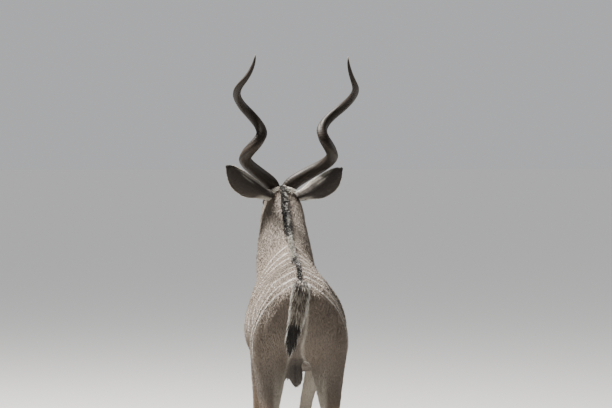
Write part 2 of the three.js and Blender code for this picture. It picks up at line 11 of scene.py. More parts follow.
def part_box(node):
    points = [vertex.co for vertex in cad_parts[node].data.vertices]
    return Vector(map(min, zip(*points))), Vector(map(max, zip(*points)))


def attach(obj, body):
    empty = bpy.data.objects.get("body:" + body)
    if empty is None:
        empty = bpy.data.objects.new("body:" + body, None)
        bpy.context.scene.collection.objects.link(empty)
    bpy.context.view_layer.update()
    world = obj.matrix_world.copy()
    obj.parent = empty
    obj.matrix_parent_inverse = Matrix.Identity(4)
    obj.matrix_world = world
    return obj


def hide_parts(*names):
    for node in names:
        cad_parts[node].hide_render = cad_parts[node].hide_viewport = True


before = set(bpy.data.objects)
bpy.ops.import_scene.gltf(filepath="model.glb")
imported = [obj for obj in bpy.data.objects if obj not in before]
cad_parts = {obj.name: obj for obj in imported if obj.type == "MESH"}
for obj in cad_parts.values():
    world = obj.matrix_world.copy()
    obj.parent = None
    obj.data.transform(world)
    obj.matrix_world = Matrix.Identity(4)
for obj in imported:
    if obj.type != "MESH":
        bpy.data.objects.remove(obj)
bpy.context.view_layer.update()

# A greater kudu bull, in metres. Body space is the animal on its own straight spine: +Y ahead, +X to its
# right, floor at z = 0, spine at x = 0. bodyShift carries it to the frame's origin.
pose = {
    "headSway": -0.034,  # neck and head stand to the animal's left
    "pivot": (-0.034, 0.930, 1.610),  # joint of skull and neck
    "pitch": 36.0,
    "yaw": 11.0,
    "roll": 1.5,
    "eye": (0.063, 0.102, 0.024),  # in the face's own space
}
sides = (("left", -1), ("right", 1))
feet = [f"{end}_{side}" for end in ("fore", "hind") for side in ("left", "right")]
rng = np.random.default_rng(4204)


def smoothStep(x, low, high):
    t = np.clip((np.asarray(x, float) - low) / (high - low), 0, 1)
    return t * t * (3 - 2 * t)


def fade(x, low, high):
    return 1 - smoothStep(x, low, high)


def band(x, low, full, last, end):
    return smoothStep(x, low, full) * fade(x, last, end)


def bell(x, reach):
    return np.exp(-(x / reach) ** 2)


def unit(v):
    return v / np.maximum(np.linalg.norm(v, axis=-1, keepdims=True), 1e-9)


# Rows from columns, where a column may be one number
def rowsOf(*columns):
    return np.stack(np.broadcast_arrays(*columns), 1).astype(float)


def heading(curve, t, step):
    return unit(curve(np.minimum(t + step, 1)) - curve(np.maximum(t - step, 0)))


def turnMatrix(angle, axis):
    return np.array(Matrix.Rotation(math.radians(angle), 3, axis))


headTurn = turnMatrix(pose["yaw"], "Z") @ turnMatrix(pose["roll"], "Y")
faceTurn = headTurn @ turnMatrix(-pose["pitch"], "X")
eyeCorners = [np.array(corner) for side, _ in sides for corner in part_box("eye_" + side)]
headOrigin = np.mean(eyeCorners, axis=0) - faceTurn @ np.array([0, pose["eye"][1], pose["eye"][2]])
bodyShift = headOrigin - np.array(pose["pivot"])


def sway(y):
    return pose["headSway"] * smoothStep(y, 0, 0.8)


def toBody(points):
    return np.asarray(points) - bodyShift


def fromBody(points):
    return np.asarray(points) + bodyShift


def toFace(points):
    return (np.asarray(points) - headOrigin) @ faceTurn


def fromFace(points):
    return np.asarray(points) @ faceTurn.T + headOrigin


def fromHead(points):
    return np.asarray(points) @ headTurn.T + headOrigin


def mirrored(points, sign):
    return points * np.array([sign, 1, 1])


# Both halves of the face on one side
def halved(face):
    return np.concatenate([np.abs(face[:, :1]), face[:, 1:]], 1)


# Points in body and face space, and how far each stands right of the spine
def located(points):
    body = toBody(points)
    return body, toFace(points), body[:, 0] - sway(body[:, 1])


# Catmull-Rom through rows of numbers, read at t from 0 to 1
def curveThrough(rows):
    table = np.array(rows, float)
    last = len(table) - 1

    def at(t):
        s = np.clip(np.asarray(t, float), 0, 1) * last
        i = np.minimum(s.astype(int), last - 1)
        f = (s - i)[..., None]
        a, b, c, d = (table[np.clip(i + k, 0, last)] for k in (-1, 0, 1, 2))
        inward, outward = (c - a) / 2, (d - b) / 2
        bend = 3 * (c - b) - 2 * inward - outward
        return (((2 * (b - c) + inward + outward) * f + bend) * f + inward) * f + b

    return at


def newObject(name, data):
    piece = bpy.data.objects.new(name, data)
    bpy.context.scene.collection.objects.link(piece)
    return piece


def addPiece(name, mesh, material, replaced=()):
    piece = newObject(name, mesh)
    mesh.materials.append(material)
    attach(piece, "root")
    if replaced:
        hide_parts(*replaced)


def bmeshOf(mesh):
    bm = bmesh.new()
    bm.from_mesh(mesh)
    return bm


def writeBack(bm, mesh):
    bm.to_mesh(mesh)
    bm.free()
    return mesh


def meshFromBmesh(name, bm):
    return writeBack(bm, bpy.data.meshes.new(name))


def smoothMesh(name, bm):
    bmesh.ops.recalc_face_normals(bm, faces=bm.faces)
    for face in bm.faces:
        face.smooth = True
    return meshFromBmesh(name, bm)


# A round or flat tube from a grid: place(t, angle) gives the points; both ends are closed
def tubeMesh(name, around, along, place):
    bm = bmesh.new()
    bmesh.ops.create_grid(bm, x_segments=around, y_segments=along, size=0.5)
    grid = np.array([v.co[:] for v in bm.verts])
    spots = place(grid[:, 1] + 0.5, (grid[:, 0] + 0.5) * 2 * math.pi)
    for vert, spot in zip(bm.verts, spots):
        vert.co = spot
    bmesh.ops.remove_doubles(bm, verts=bm.verts, dist=1e-6)
    bmesh.ops.holes_fill(bm, edges=[e for e in bm.edges if e.is_boundary], sides=0)
    return smoothMesh(name, bm)


def readRows(items, key, width, kind=np.float32):
    data = np.zeros(len(items) * width, kind)
    items.foreach_get(key, data)
    return data.reshape(-1, width)


def pointsOf(mesh):
    return readRows(mesh.vertices, "co", 3).astype(float)


def normalsOf(mesh):
    return readRows(mesh.vertex_normals, "vector", 3).astype(float)


def setPoints(mesh, points):
    mesh.vertices.foreach_set("co", points.astype(np.float32).ravel())
    mesh.update()


def paintPoints(mesh, shades):
    layer = mesh.color_attributes.new("coatShade", "FLOAT_COLOR", "POINT")
    opaque = np.ones((len(shades), 4), np.float32)
    opaque[:, :3] = shades
    layer.data.foreach_set("color", opaque.ravel())


# Lays named shades over colours, by a share for each point
def painter(colour, shades):
    def paint(name, share):
        share = np.clip(share, 0, 1)[:, None]
        colour[:] = colour * (1 - share) + np.array(shades[name]) * share

    return paint


# Joined small pieces: points (n, 3) and faces (m, 3), with a colour and a bake spot for each point
def meshFromArrays(name, points, faces, shades, spots):
    mesh = bpy.data.meshes.new(name)
    mesh.vertices.add(len(points))
    mesh.vertices.foreach_set("co", points.astype(np.float32).ravel())
    mesh.loops.add(faces.size)
    mesh.loops.foreach_set("vertex_index", faces.astype(np.int32).ravel())
    mesh.polygons.add(len(faces))
    mesh.polygons.foreach_set("loop_start", np.arange(0, faces.size, 3, dtype=np.int32))
    mesh.update(calc_edges=True)
    paintPoints(mesh, shades)
    layer = mesh.uv_layers.new(name="OFBake")
    layer.data.foreach_set("uv", spots[faces.ravel()].astype(np.float32).ravel())
    mesh.shade_smooth()
    return mesh


# The skin: one surface over torso, neck, head, legs and tail
skinPlan = {
    "locked": ["torso", "neck", "head"],  # these solids carry locks
    "legs": [f"leg_{end}_{side}" for end in ("hind", "fore") for side in ("left", "right")],
    "voxel": 0.0103,
    "overlap": 0.0005,  # closes the thin cuts between the nodes
    "lockThickness": 0.026,
    "lockReach": 0.07,  # locks grow this near the midline
    "bodyRounds": 55,
    "legRounds": 4,
    "headRounds": 5,
    "depth": 0.006,  # how far it lies under the solids, for the coat
    "legDepth": 0.0025,
    "headShare": 0.4,
}
tailRows = [  # x, y, z, half-width, half-depth
    (0, -0.600, 1.226, 0.030, 0.022),
    (0, -0.694, 1.232, 0.033, 0.022),
    (-0.006, -0.738, 1.180, 0.033, 0.018),
    (-0.018, -0.753, 1.110, 0.028, 0.015),
    (-0.034, -0.752, 1.035, 0.020, 0.012),
    (-0.048, -0.746, 0.965, 0.011, 0.009),
]
tailAt = curveThrough(tailRows)
tailLine = tailAt(np.linspace(0.22, 1, 30))[:, :3]


def closeByFans(bm):
    edges = [e for e in bm.edges if e.is_boundary]
    groups = {v: v for e in edges for v in e.verts}

    def head(v):
        while groups[v] is not v:
            groups[v] = groups[groups[v]]
            v = groups[v]
        return v

    for e in edges:
        groups[head(e.verts[0])] = head(e.verts[1])
    rings = {}
    for e in edges:
        rings.setdefault(head(e.verts[0]), []).append(e)
    for ring in rings.values():
        middle = sum((v.co for e in ring for v in e.verts), Vector()) / (2 * len(ring))
        hub = bm.verts.new(middle)
        for e in ring:
            bm.faces.new((e.verts[0], e.verts[1], hub))


# Takes the locks off a copy of a node: they are the thin forms near the midline
def dropLocks(bm):
    tree = BVHTree.FromBMesh(bm)
    thin = []
    for face in bm.faces:
        middle = face.calc_center_median()
        spot = toBody(np.array(middle))
        if abs(spot[0] - sway(spot[1])) > skinPlan["lockReach"]:
            continue
        hit = tree.ray_cast(middle - face.normal * 1e-4, -face.normal)
        if hit[3] is not None and hit[3] < skinPlan["lockThickness"]:
            thin.append(face)
    bmesh.ops.delete(bm, geom=thin, context="FACES")
    closeByFans(bm)


def tailPlace(t, angle):
    row = tailAt(t)
    slope = heading(lambda s: tailAt(s)[:, 1:3], t, 0.02)
    back = row[:, 4] * np.sin(angle)
    return fromBody(row[:, :3] + rowsOf(row[:, 3] * np.cos(angle), slope[:, 1] * back, -slope[:, 0] * back))


def fleshMesh():
    whole = bmesh.new()
    for name in skinPlan["locked"] + skinPlan["legs"] + ["eye_left", "eye_right"]:
        part = bmeshOf(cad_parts[name].data)
        bmesh.ops.remove_doubles(part, verts=part.verts, dist=1e-5)
        if name in skinPlan["locked"]:
            dropLocks(part)
        bmesh.ops.recalc_face_normals(part, faces=part.faces)
        part.normal_update()
        for vert in part.verts:
            vert.co += vert.normal * skinPlan["overlap"]
        mesh = meshFromBmesh("flesh", part)
        whole.from_mesh(mesh)
        bpy.data.meshes.remove(mesh)
    whole.from_mesh(tubeMesh("tailCore", 12, 24, tailPlace))
    return meshFromBmesh("fleshUnion", whole)


def keepBiggestIsland(bm):
    seen, best = set(), set()
    for start in bm.verts:
        if start in seen:
            continue
        island, queue = {start}, [start]
        while queue:
            for edge in queue.pop().link_edges:
                near = set(edge.verts) - island
                island |= near
                queue += near
        seen |= island
        best = max(best, island, key=len)
    bmesh.ops.delete(bm, geom=[v for v in bm.verts if v not in best], context="VERTS")


def relaxed(points, pairs, weight, rounds):
    count = np.bincount(pairs.ravel(), minlength=len(points))[:, None]
    for _ in range(rounds):
        total = np.empty_like(points)
        for axis in range(3):
            near = np.bincount(pairs[:, 0], points[pairs[:, 1], axis], len(points))
            total[:, axis] = near + np.bincount(pairs[:, 1], points[pairs[:, 0], axis], len(points))
        points = points + weight[:, None] * (total / np.maximum(count, 1) - points)
    return points


# Shares of each part at a place: head, neck, lower leg and tail
def headShare(face):
    return smoothStep(face[:, 1], -0.07, -0.01) * smoothStep(face[:, 2], -0.19, -0.13)


def neckShare(body):
    return smoothStep(body[:, 1] * 0.82 + body[:, 2] * 0.57, 1.06, 1.24)


def legShare(body):
    return fade(body[:, 2], 0.70, 0.90)


def tailShare(body):
    x, y, z = body.T
    near = np.flatnonzero((y < -0.69) & (z > 0.93) & (z < 1.27) & (np.abs(x) < 0.1))
    away = np.linalg.norm(body[near, None] - tailLine[None], axis=2).min(1)
    share = np.zeros(len(body))
    share[near] = fade(away, 0.030, 0.040)
    return share


# Muscle and bone under the coat, in body space: centre, reach along each axis, and height
reliefs = {
    "hipPoint": ((0.128, -0.43, 1.228), (0.045, 0.055, 0.045), 0.012),
    "pinBone": ((0.080, -0.672, 1.160), (0.040, 0.045, 0.050), 0.015),
    "flankHollow": ((0.175, -0.33, 1.150), (0.060, 0.080, 0.060), -0.013),
    "thigh": ((0.240, -0.49, 1.010), (0.090, 0.110, 0.130), 0.007),
    "thighGroove": ((0.190, -0.63, 0.980), (0.060, 0.022, 0.150), -0.011),
    "stifle": ((0.205, -0.335, 0.880), (0.060, 0.050, 0.060), 0.012),
    "flankFold": ((0.185, -0.265, 0.905), (0.050, 0.040, 0.080), 0.013),
    "bladeRidge": ((0.120, 0.42, 1.250), (0.030, 0.028, 0.100), 0.008),
    "behindShoulder": ((0.215, 0.255, 1.050), (0.060, 0.045, 0.150), -0.013),
    "shoulderPoint": ((0.165, 0.60, 1.040), (0.055, 0.050, 0.060), 0.013),
    "triceps": ((0.215, 0.40, 1.000), (0.060, 0.080, 0.085), 0.013),
    "elbow": ((0.205, 0.315, 0.880), (0.040, 0.030, 0.050), 0.012),
    "throatGrooveLow": ((0.105, 0.735, 1.130), (0.040, 0.030, 0.070), -0.007),
    "throatGrooveHigh": ((0.085, 0.850, 1.330), (0.040, 0.030, 0.080), -0.006),
    "backOfJaw": ((0.080, 0.915, 1.500), (0.030, 0.022, 0.050), -0.007),
    "hockPoint": ((0.151, -0.690, 0.520), (0.030, 0.026, 0.032), 0.006),
    "hockHollow": ((0.175, -0.640, 0.560), (0.025, 0.018, 0.050), -0.004),
}
ribs = {"along": (-0.21, -0.11, 0.24, 0.36), "lean": 0.35, "spacing": 0.052, "height": 0.0013}


# Heights of all the forms of a table at each spot, on both sides of the animal
def heightsOf(forms, spots):
    lift = np.zeros(len(spots))
    for centre, reach, height in forms.values():
        for side in ((-1, 1) if centre[0] else (1,)):
            away = (spots - np.array(centre) * (side, 1, 1)) / reach
            lift += height * np.exp(-(away ** 2).sum(1))
    return lift


def sculptBody(points, normals):
    body, _, x = located(points)
    y, z = body[:, 1], body[:, 2]
    onRibs = band(y, *ribs["along"]) * band(z, 0.82, 0.92, 1.10, 1.22)
    lean = y + ribs["lean"] * (z - 1.0)
    lift = heightsOf(reliefs, rowsOf(x, y, z))
    lift += onRibs * ribs["height"] * np.cos(2 * math.pi * lean / ribs["spacing"])
    return points + normals * lift[:, None]


# Face forms in the face's own space, mirrored: centre, reach, height
faceReliefs = {
    "browRidge": ((0.062, 0.100, 0.050), (0.020, 0.030, 0.010), 0.0030),
    "tearHollow": ((0.052, 0.146, 0.010), (0.018, 0.022, 0.010), -0.0050),
    "cheekRidge": ((0.060, 0.130, -0.022), (0.020, 0.050, 0.007), 0.0035),
    "underCheek": ((0.060, 0.140, -0.048), (0.022, 0.050, 0.014), -0.0050),
    "noseSide": ((0.040, 0.250, 0.005), (0.014, 0.060, 0.014), -0.0030),
    "jawMuscle": ((0.080, 0.040, -0.060), (0.030, 0.040, 0.035), 0.0040),
    "nostrilRim": ((0.034, 0.368, 0.004), (0.016, 0.018, 0.014), 0.0040),
    "lipPad": ((0.036, 0.350, -0.024), (0.016, 0.024, 0.010), 0.0035),
    "mouthCorner": ((0.040, 0.296, -0.040), (0.012, 0.010, 0.008), -0.0020),
    "chin": ((0.000, 0.350, -0.064), (0.022, 0.024, 0.012), 0.0040),
    "templeHollow": ((0.070, 0.052, 0.030), (0.018, 0.020, 0.018), -0.0060),
}
nostril = {
    "centre": (0.0275, 0.372, -0.004),
    "long": 0.0120,
    "wide": 0.0042,
    "through": 0.016,
    "depth": 0.010,
    "rim": 0.0030,
    "turn": 38.0,
    "curl": 26.0,
    "muzzle": 0.33,  # the muzzle starts this far ahead
}
cleft = {"wide": 0.0022, "depth": 0.0025}  # below the nose
mouth = {"corner": 0.300, "front": 0.400, "height": -0.0385, "fall": 0.06, "wide": 0.0026, "depth": 0.0042}
lidPlan = {
    "ball": 0.0235,
    "back": 0.002,
    "long": 0.0205,
    "high": 0.0150,
    "slim": 0.30,
    "sink": 0.007,
    "inner": 1.22,
}
eyeOut = unit(np.array([0.92, 0.30, 0.20]))
eyeAlong = np.array([-0.28, 0.95, -0.16])
eyeAlong = unit(eyeAlong - eyeOut * np.dot(eyeOut, eyeAlong))
eyeUp = np.cross(eyeOut, eyeAlong)
eyeUp *= np.sign(eyeUp[2])
eyeSpot = np.array(pose["eye"]) - eyeOut * lidPlan["back"]


# How far the eyeball stands out at a place on the plane through its middle
def ballHeight(along, up):
    return np.sqrt(np.maximum(lidPlan["ball"] ** 2 - along ** 2 - up ** 2, 0))


# Where a point lies about its eye: along the lids, above them, out of the head, and how many lid sizes away
def aboutEye(face):
    away = halved(face) - eyeSpot
    along, up, out = away @ eyeAlong, away @ eyeUp, away @ eyeOut
    slimmer = 1 - lidPlan["slim"] * np.clip(np.abs(along) / lidPlan["long"], 0, 1)
    ring = np.sqrt((along / lidPlan["long"]) ** 2 + (up / (lidPlan["high"] * slimmer)) ** 2)
    return along, up, out, ring


def byEye(face, ahead):
    return (np.abs(face[:, 1] - pose["eye"][1]) < ahead) & (np.abs(face[:, 0]) > 0.03)


# How many nostril sizes a point lies from its nostril, a slit that curls back over the top
def aboutNostril(face):
    away = halved(face) - np.array(nostril["centre"])
    turn = math.radians(nostril["turn"])
    long = away[:, 2] * math.sin(turn) - away[:, 1] * math.cos(turn)
    wide = away[:, 2] * math.cos(turn) + away[:, 1] * math.sin(turn) - nostril["curl"] * long ** 2
    flat = (long / nostril["long"]) ** 2 + (wide / nostril["wide"]) ** 2
    return np.sqrt(flat + (away[:, 0] / nostril["through"]) ** 4)


# How high a point of the face lies over the line of the mouth
def overMouth(face):
    return face[:, 2] - mouth["height"] + mouth["fall"] * (mouth["front"] - face[:, 1])


def sculptFace(points, normals):
    face = toFace(points)
    fx, fy, fz = face.T
    lift = heightsOf(faceReliefs, face)
    hole = aboutNostril(face)
    slit = nostril["rim"] * bell(hole - 1.9, 0.6) - nostril["depth"] * np.exp(-hole ** 3)
    lift += slit * (fy > nostril["muzzle"])
    seam = bell(overMouth(face), mouth["wide"]) * smoothStep(fy, mouth["corner"], mouth["corner"] + 0.02)
    lift -= mouth["depth"] * seam
    groove = bell(fx, cleft["wide"]) * smoothStep(fy, 0.372, 0.38) * band(fz, -0.036, -0.03, -0.012, -0.004)
    lift -= cleft["depth"] * groove
    face = face + normals @ faceTurn * (lift * headShare(face))[:, None]
    along, up, out, ring = aboutEye(face)
    inside = fade(ring, lidPlan["inner"], lidPlan["inner"] + 0.25) * byEye(face, 0.07) * (out > -0.03)
    move = (ballHeight(along, up) - lidPlan["sink"] - out) * inside
    mirror = rowsOf(np.where(face[:, 0] < 0, -1, 1), 1, 1)
    return fromFace(face + move[:, None] * eyeOut * mirror)


# How far the skin lies under the solids' surface
def coatDepth(points):
    body, face = toBody(points), toFace(points)
    depth = skinPlan["depth"] + (skinPlan["legDepth"] - skinPlan["depth"]) * legShare(body)
    return depth * (1 + (skinPlan["headShare"] - 1) * headShare(face))


def makeSkin():
    union = newObject("fleshUnion", fleshMesh())
    remesh = union.modifiers.new("remesh", "REMESH")
    remesh.mode = "VOXEL"
    remesh.voxel_size = skinPlan["voxel"]
    graph = bpy.context.evaluated_depsgraph_get()
    mesh = bpy.data.meshes.new_from_object(union.evaluated_get(graph))
    bpy.data.objects.remove(union)
    bm = bmeshOf(mesh)
    keepBiggestIsland(bm)
    print("flesh", len(bm.faces), "faces")
    writeBack(bm, mesh)
    points, pairs = pointsOf(mesh), readRows(mesh.edges, "vertices", 2, np.int32)
    body = toBody(points)
    onBody = (1 - legShare(body)) * (1 - headShare(toFace(points))) * (1 - tailShare(body))
    points = relaxed(points, pairs, 0.5 * onBody, skinPlan["bodyRounds"])
    overFeet = smoothStep(body[:, 2], 0.065, 0.14)
    points = relaxed(points, pairs, 0.45 * np.maximum(1 - onBody, 0.2) * overFeet, skinPlan["legRounds"])
    setPoints(mesh, points)
    points = sculptBody(points, normalsOf(mesh))
    points = relaxed(points, pairs, np.full(len(points), 0.3), 2)
    setPoints(mesh, points)
    setPoints(mesh, points - normalsOf(mesh) * coatDepth(points)[:, None])
    bm = bmeshOf(mesh)
    for ahead in (-0.045, 0.060):  # the whole head once, then the face and muzzle again
        fx, fy, fz = toFace(np.array([v.co[:] for v in bm.verts])).T
        inside = (fy > ahead) & (np.abs(fx) < 0.14) & (fz > -0.15) & (fz < 0.10)
        chosen = {v for v, yes in zip(bm.verts, inside) if yes}
        edges = [e for e in bm.edges if e.verts[0] in chosen and e.verts[1] in chosen]
        bmesh.ops.subdivide_edges(bm, edges=edges, cuts=1, use_grid_fill=True)
    writeBack(bm, mesh)
    points, pairs = pointsOf(mesh), readRows(mesh.edges, "vertices", 2, np.int32)
    points = relaxed(points, pairs, 0.5 * headShare(toFace(points)), skinPlan["headRounds"])
    setPoints(mesh, points)
    setPoints(mesh, sculptFace(points, normalsOf(mesh)))
    mesh.shade_smooth()
    return newObject("skin", mesh)


skin = makeSkin()
print("skin", len(skin.data.polygons), "faces")

# Markings, with painted shade on the rear of the haunches, between the hind legs and down the purse, the
# same on skin and coat. Colours are linear.
coatShades = {
    "body": (0.265, 0.212, 0.165),
    # back: also laid over the rear of the haunches as painted shade
    "back": (0.150, 0.118, 0.092),
    # belly: also laid between the hind legs as painted shade
    "belly": (0.190, 0.158, 0.128),
    "neck": (0.225, 0.187, 0.152),
    "leg": (0.330, 0.212, 0.125),
    "pale": (0.560, 0.510, 0.430),
    "white": (0.830, 0.800, 0.730),
    "dark": (0.026, 0.022, 0.019),
    "face": (0.190, 0.135, 0.095),
    "bridge": (0.105, 0.073, 0.052),
    "nose": (0.010, 0.009, 0.009),
    "purse": (0.120, 0.105, 0.092),
    "lid": (0.020, 0.016, 0.014),
}
stripePlan = {
    "places": (0.34, 0.235, 0.135, 0.03, -0.075, -0.18, -0.285, -0.385, -0.475, -0.560, -0.632),
    "wide": 0.0062,
    "slant": 0.05,  # the lower end lies this much ahead, for each metre down
    "rearSlant": 0.30,  # and so much more on the last two, which run round the haunch
    "uneven": 0.012,  # left and right aren't quite alike
    "wander": 0.011,
    "low": 0.86,
}
buttockEdge = {  # heights, and how far the pale edge lies from the midline
    "left": ((0.60, 0.71, 0.78, 0.84, 1.00, 1.15), (0.110, 0.088, 0.070, 0.055, 0.052, 0.050)),
    "right": (
        (0.60, 0.70, 0.78, 0.84, 0.88, 0.93, 1.00, 1.10),
        (0.110, 0.077, 0.052, 0.028, 0.013, 0.010, 0.025, 0.034),
    ),
}
# The purse: centre, reach, and the middle and reach of a painted shade line down its cleft
purse = {"centre": (-0.014, -0.478, 0.775), "reach": (0.07, 0.075, 0.10), "middle": -0.02, "seam": 0.0044721}
cheekSpots = ((0.185, -0.030, 0.009), (0.148, -0.046, 0.008), (0.105, -0.056, 0.008))  # y, z and reach


# Smooth noise between -1 and 1, from random values on a lattice
def softNoise(points, size, seed):
    lattice = np.random.default_rng(seed).uniform(-1, 1, (32, 32, 32))
    spots = points / size
    low = np.floor(spots).astype(int)
    f = spots - low
    f = f * f * (3 - 2 * f)
    total = 0
    for corner in range(8):
        step = np.array([corner & 1, corner >> 1 & 1, corner >> 2])
        i = (low + step) % 32
        share = np.prod(np.where(step, f, 1 - f), axis=1)
        total = total + share * lattice[i[:, 0], i[:, 1], i[:, 2]]
    return total


def stripeShare(body, x):
    y, z = body[:, 1], body[:, 2]
    wander = stripePlan["wander"] * softNoise(body * (1, 0.4, 1), 0.13, 11)
    broken = 0.75 + 0.35 * softNoise(body, 0.05, 12)
    share = np.zeros(len(body))
    for i, place in enumerate(stripePlan["places"]):
        shift = stripePlan["uneven"] * math.sin(5.1 * i) * np.sign(x)
        slant = stripePlan["slant"] + stripePlan["rearSlant"] * smoothStep(-place, 0.45, 0.64)
        line = place + shift + wander + slant * (1.25 - z)
        low = stripePlan["low"] + 0.05 * math.sin(3.7 * i) + 0.04 * np.sign(x) * math.cos(2.3 * i)
        wide = stripePlan["wide"] * (1 + 0.25 * math.sin(7.3 * i))
        across = fade(np.abs(y - line), wide * 0.7, wide * 1.5)
        share = np.maximum(share, across * smoothStep(z, low - 0.03, low + 0.06))
    return share * np.clip(broken, 0, 1) * fade(y, 0.36, 0.42)


def paintBody(paint, body, x, offHead):
    side, y, z = np.abs(x), body[:, 1], body[:, 2]
    onNeck, onTail = neckShare(body), tailShare(body)
    paint("back", 0.35 * fade(side, 0.015, 0.13) * smoothStep(z, 1.12, 1.22))
    # Painted shade: the rear of the haunches is darkened with the colour of the back
    paint("back", 0.50 * smoothStep(-y, 0.48, 0.62) * band(z, 0.50, 0.75, 1.10, 1.20))
    paint("belly", 0.8 * band(z, 0.60, 0.70, 0.74, 0.90))
    paint("neck", onNeck * offHead)
    nape = fade(side, 0.004, 0.014) * smoothStep(z - 0.55 * y, 0.93, 1.05)
    paint("dark", 0.7 * onNeck * offHead * nape)
    # Legs: tawny below, pale inside, dark marks at the knees and pasterns
    paint("leg", 0.95 * fade(z, 0.36, 0.72) * offHead)
    inner = np.where(x > 0, np.interp(z, *buttockEdge["right"]), np.interp(z, *buttockEdge["left"]))
    # Painted shade between the hind legs, inside their pale edges, in the belly colour
    paint("belly", 0.8 * fade(side, inner - 0.01, inner) * fade(z, 1.0, 1.12) * (y < -0.4))
    paint("pale", 0.75 * bell(side - inner, 0.008) * band(z, 0.55, 0.65, 1.10, 1.16) * (y < -0.4))
    paint("pale", 0.75 * fade(side, 0.118, 0.142) * band(z, 0.10, 0.25, 0.62, 0.86) * (np.abs(y) > 0.25))
    paint("dark", 0.6 * bell(z - 0.47, 0.055) * fade(y, 0.375, 0.395) * (y >= 0))
    paint("dark", 0.85 * fade(z, 0.095, 0.15) * fade(side, 0.135, 0.165))
    ahead = np.where(y < 0, y + 0.585, y - 0.405)
    paint("white", 0.8 * bell(z - 0.125, 0.024) * smoothStep(ahead, 0.0, 0.02) * (z < 0.3))
    sac = np.exp(-(((body - purse["centre"]) / purse["reach"]) ** 2).sum(1) ** 2)
    paint("purse", sac * (z < 0.86))
    # Painted shade: a dark line down the middle of the purse, for the cleft between its halves
    paint("dark", 0.55 * sac * bell(x - purse["middle"], purse["seam"]))
    # Stripes, the dark line along the back, and the tail
    trunk = (1 - onNeck) * offHead * (1 - onTail)
    paint("white", 0.95 * stripeShare(body, x) * trunk * smoothStep(side, 0.012, 0.026))
    paint("dark", 0.85 * trunk * fade(side, 0.006, 0.016) * smoothStep(z, 1.16, 1.22))
    paint("body", onTail)
    middle = np.interp(z, tailLine[::-1, 2], tailLine[::-1, 0])
    paint("white", 0.6 * onTail * smoothStep(np.abs(body[:, 0] - middle), 0.012, 0.020))
    paint("dark", onTail * fade(z, 1.02, 1.06))


def paintHead(paintAll, face, onHead):
    fx, fy, fz = halved(face).T

    def paint(name, share):
        paintAll(name, onHead * share)

    paint("face", 1)
    paint("bridge", 0.85 * smoothStep(fz, -0.005, 0.02) * smoothStep(fy, 0.16, 0.22))
    paint("bridge", 0.5 * smoothStep(fz, 0.03, 0.06) * fade(fy, 0.14, 0.17))
    paint("neck", fade(fy, -0.01, 0.07))
    chevron = bell(fy - 0.183 + 0.95 * fx, 0.0065) * band(fx, 0.004, 0.010, 0.050, 0.060)
    paint("white", chevron * (fz > 0))
    for sy, sz, reach in cheekSpots:
        away = ((fy - sy) ** 2 + (fz - sz) ** 2) / reach ** 2
        paint("white", 0.95 * fade(away, 0.7, 1.4) * (fx > 0.02))
    paint("pale", 0.75 * fade(fz + 0.05 * (fy - 0.2), -0.086, -0.070) * smoothStep(fy, 0.06, 0.14))
    paint("white", fade(fz, -0.034, -0.026) * smoothStep(fy, 0.285, 0.315))
    paint("nose", smoothStep(fy, 0.366, 0.376) * band(fz, -0.034, -0.026, 0.004, 0.012))
    paint("nose", fade(aboutNostril(face), 1.6, 2.1) * (fy > nostril["muzzle"]))
    seam = fade(np.abs(overMouth(face)), 0.0014, 0.0034)
    paint("lid", 0.9 * seam * smoothStep(fy, mouth["corner"] - 0.004, mouth["corner"] + 0.01))
    ring = aboutEye(face)[3]
    paint("pale", 0.35 * byEye(face, 0.06) * bell(ring - 2.2, 0.45))
    paint("lid", byEye(face, 0.06) * fade(ring, 1.30, 1.60))


def markings(points):
    body, face, x = located(points)
    onHead = headShare(face)
    colour = np.tile(np.array(coatShades["body"]), (len(points), 1))
    paint = painter(colour, coatShades)
    paintBody(paint, body, x, 1 - onHead)
    paintHead(paint, face, onHead)
    mottle = 0.10 * softNoise(points, 0.11, 21) + 0.05 * softNoise(points, 0.025, 22)
    return colour * (1 + mottle[:, None])


# How hair lies at a place: along the skin, back over the trunk, down the haunches and legs
def lieOfHair(points, normals):
    body, face, x = located(points)
    y, z = body[:, 1], body[:, 2]
    flow = rowsOf(0.10 * np.sign(x) * smoothStep(np.abs(x), 0, 0.1), -1, -0.22)
    haunch = smoothStep(-y, 0.34, 0.60) * band(z, 0.70, 0.85, 1.16, 1.27)
    shoulder = smoothStep(y, 0.26, 0.40) * fade(z, 0.95, 1.25)
    onLeg = fade(z, 0.74, 0.96) * np.maximum(smoothStep(y, 0.25, 0.34), smoothStep(-y, 0.24, 0.34))
    overFace = rowsOf(face[:, 0] / 0.24, -1, -0.15 + 3 * np.minimum(face[:, 2], 0)) @ faceTurn.T
    for way, share in (
        ((0, -0.25, -1), haunch),
        ((0, -0.45, -0.9), shoulder),
        ((0, -0.12, -1), onLeg),
        ((0, -0.62, -0.78), neckShare(body)),
        ((0, -0.08, -1), tailShare(body)),
        (overFace, headShare(face)),
    ):
        flow = flow * (1 - share[:, None]) + np.array(way) * share[:, None]
    flow -= normals * (flow * normals).sum(1, keepdims=True)
    return unit(flow)


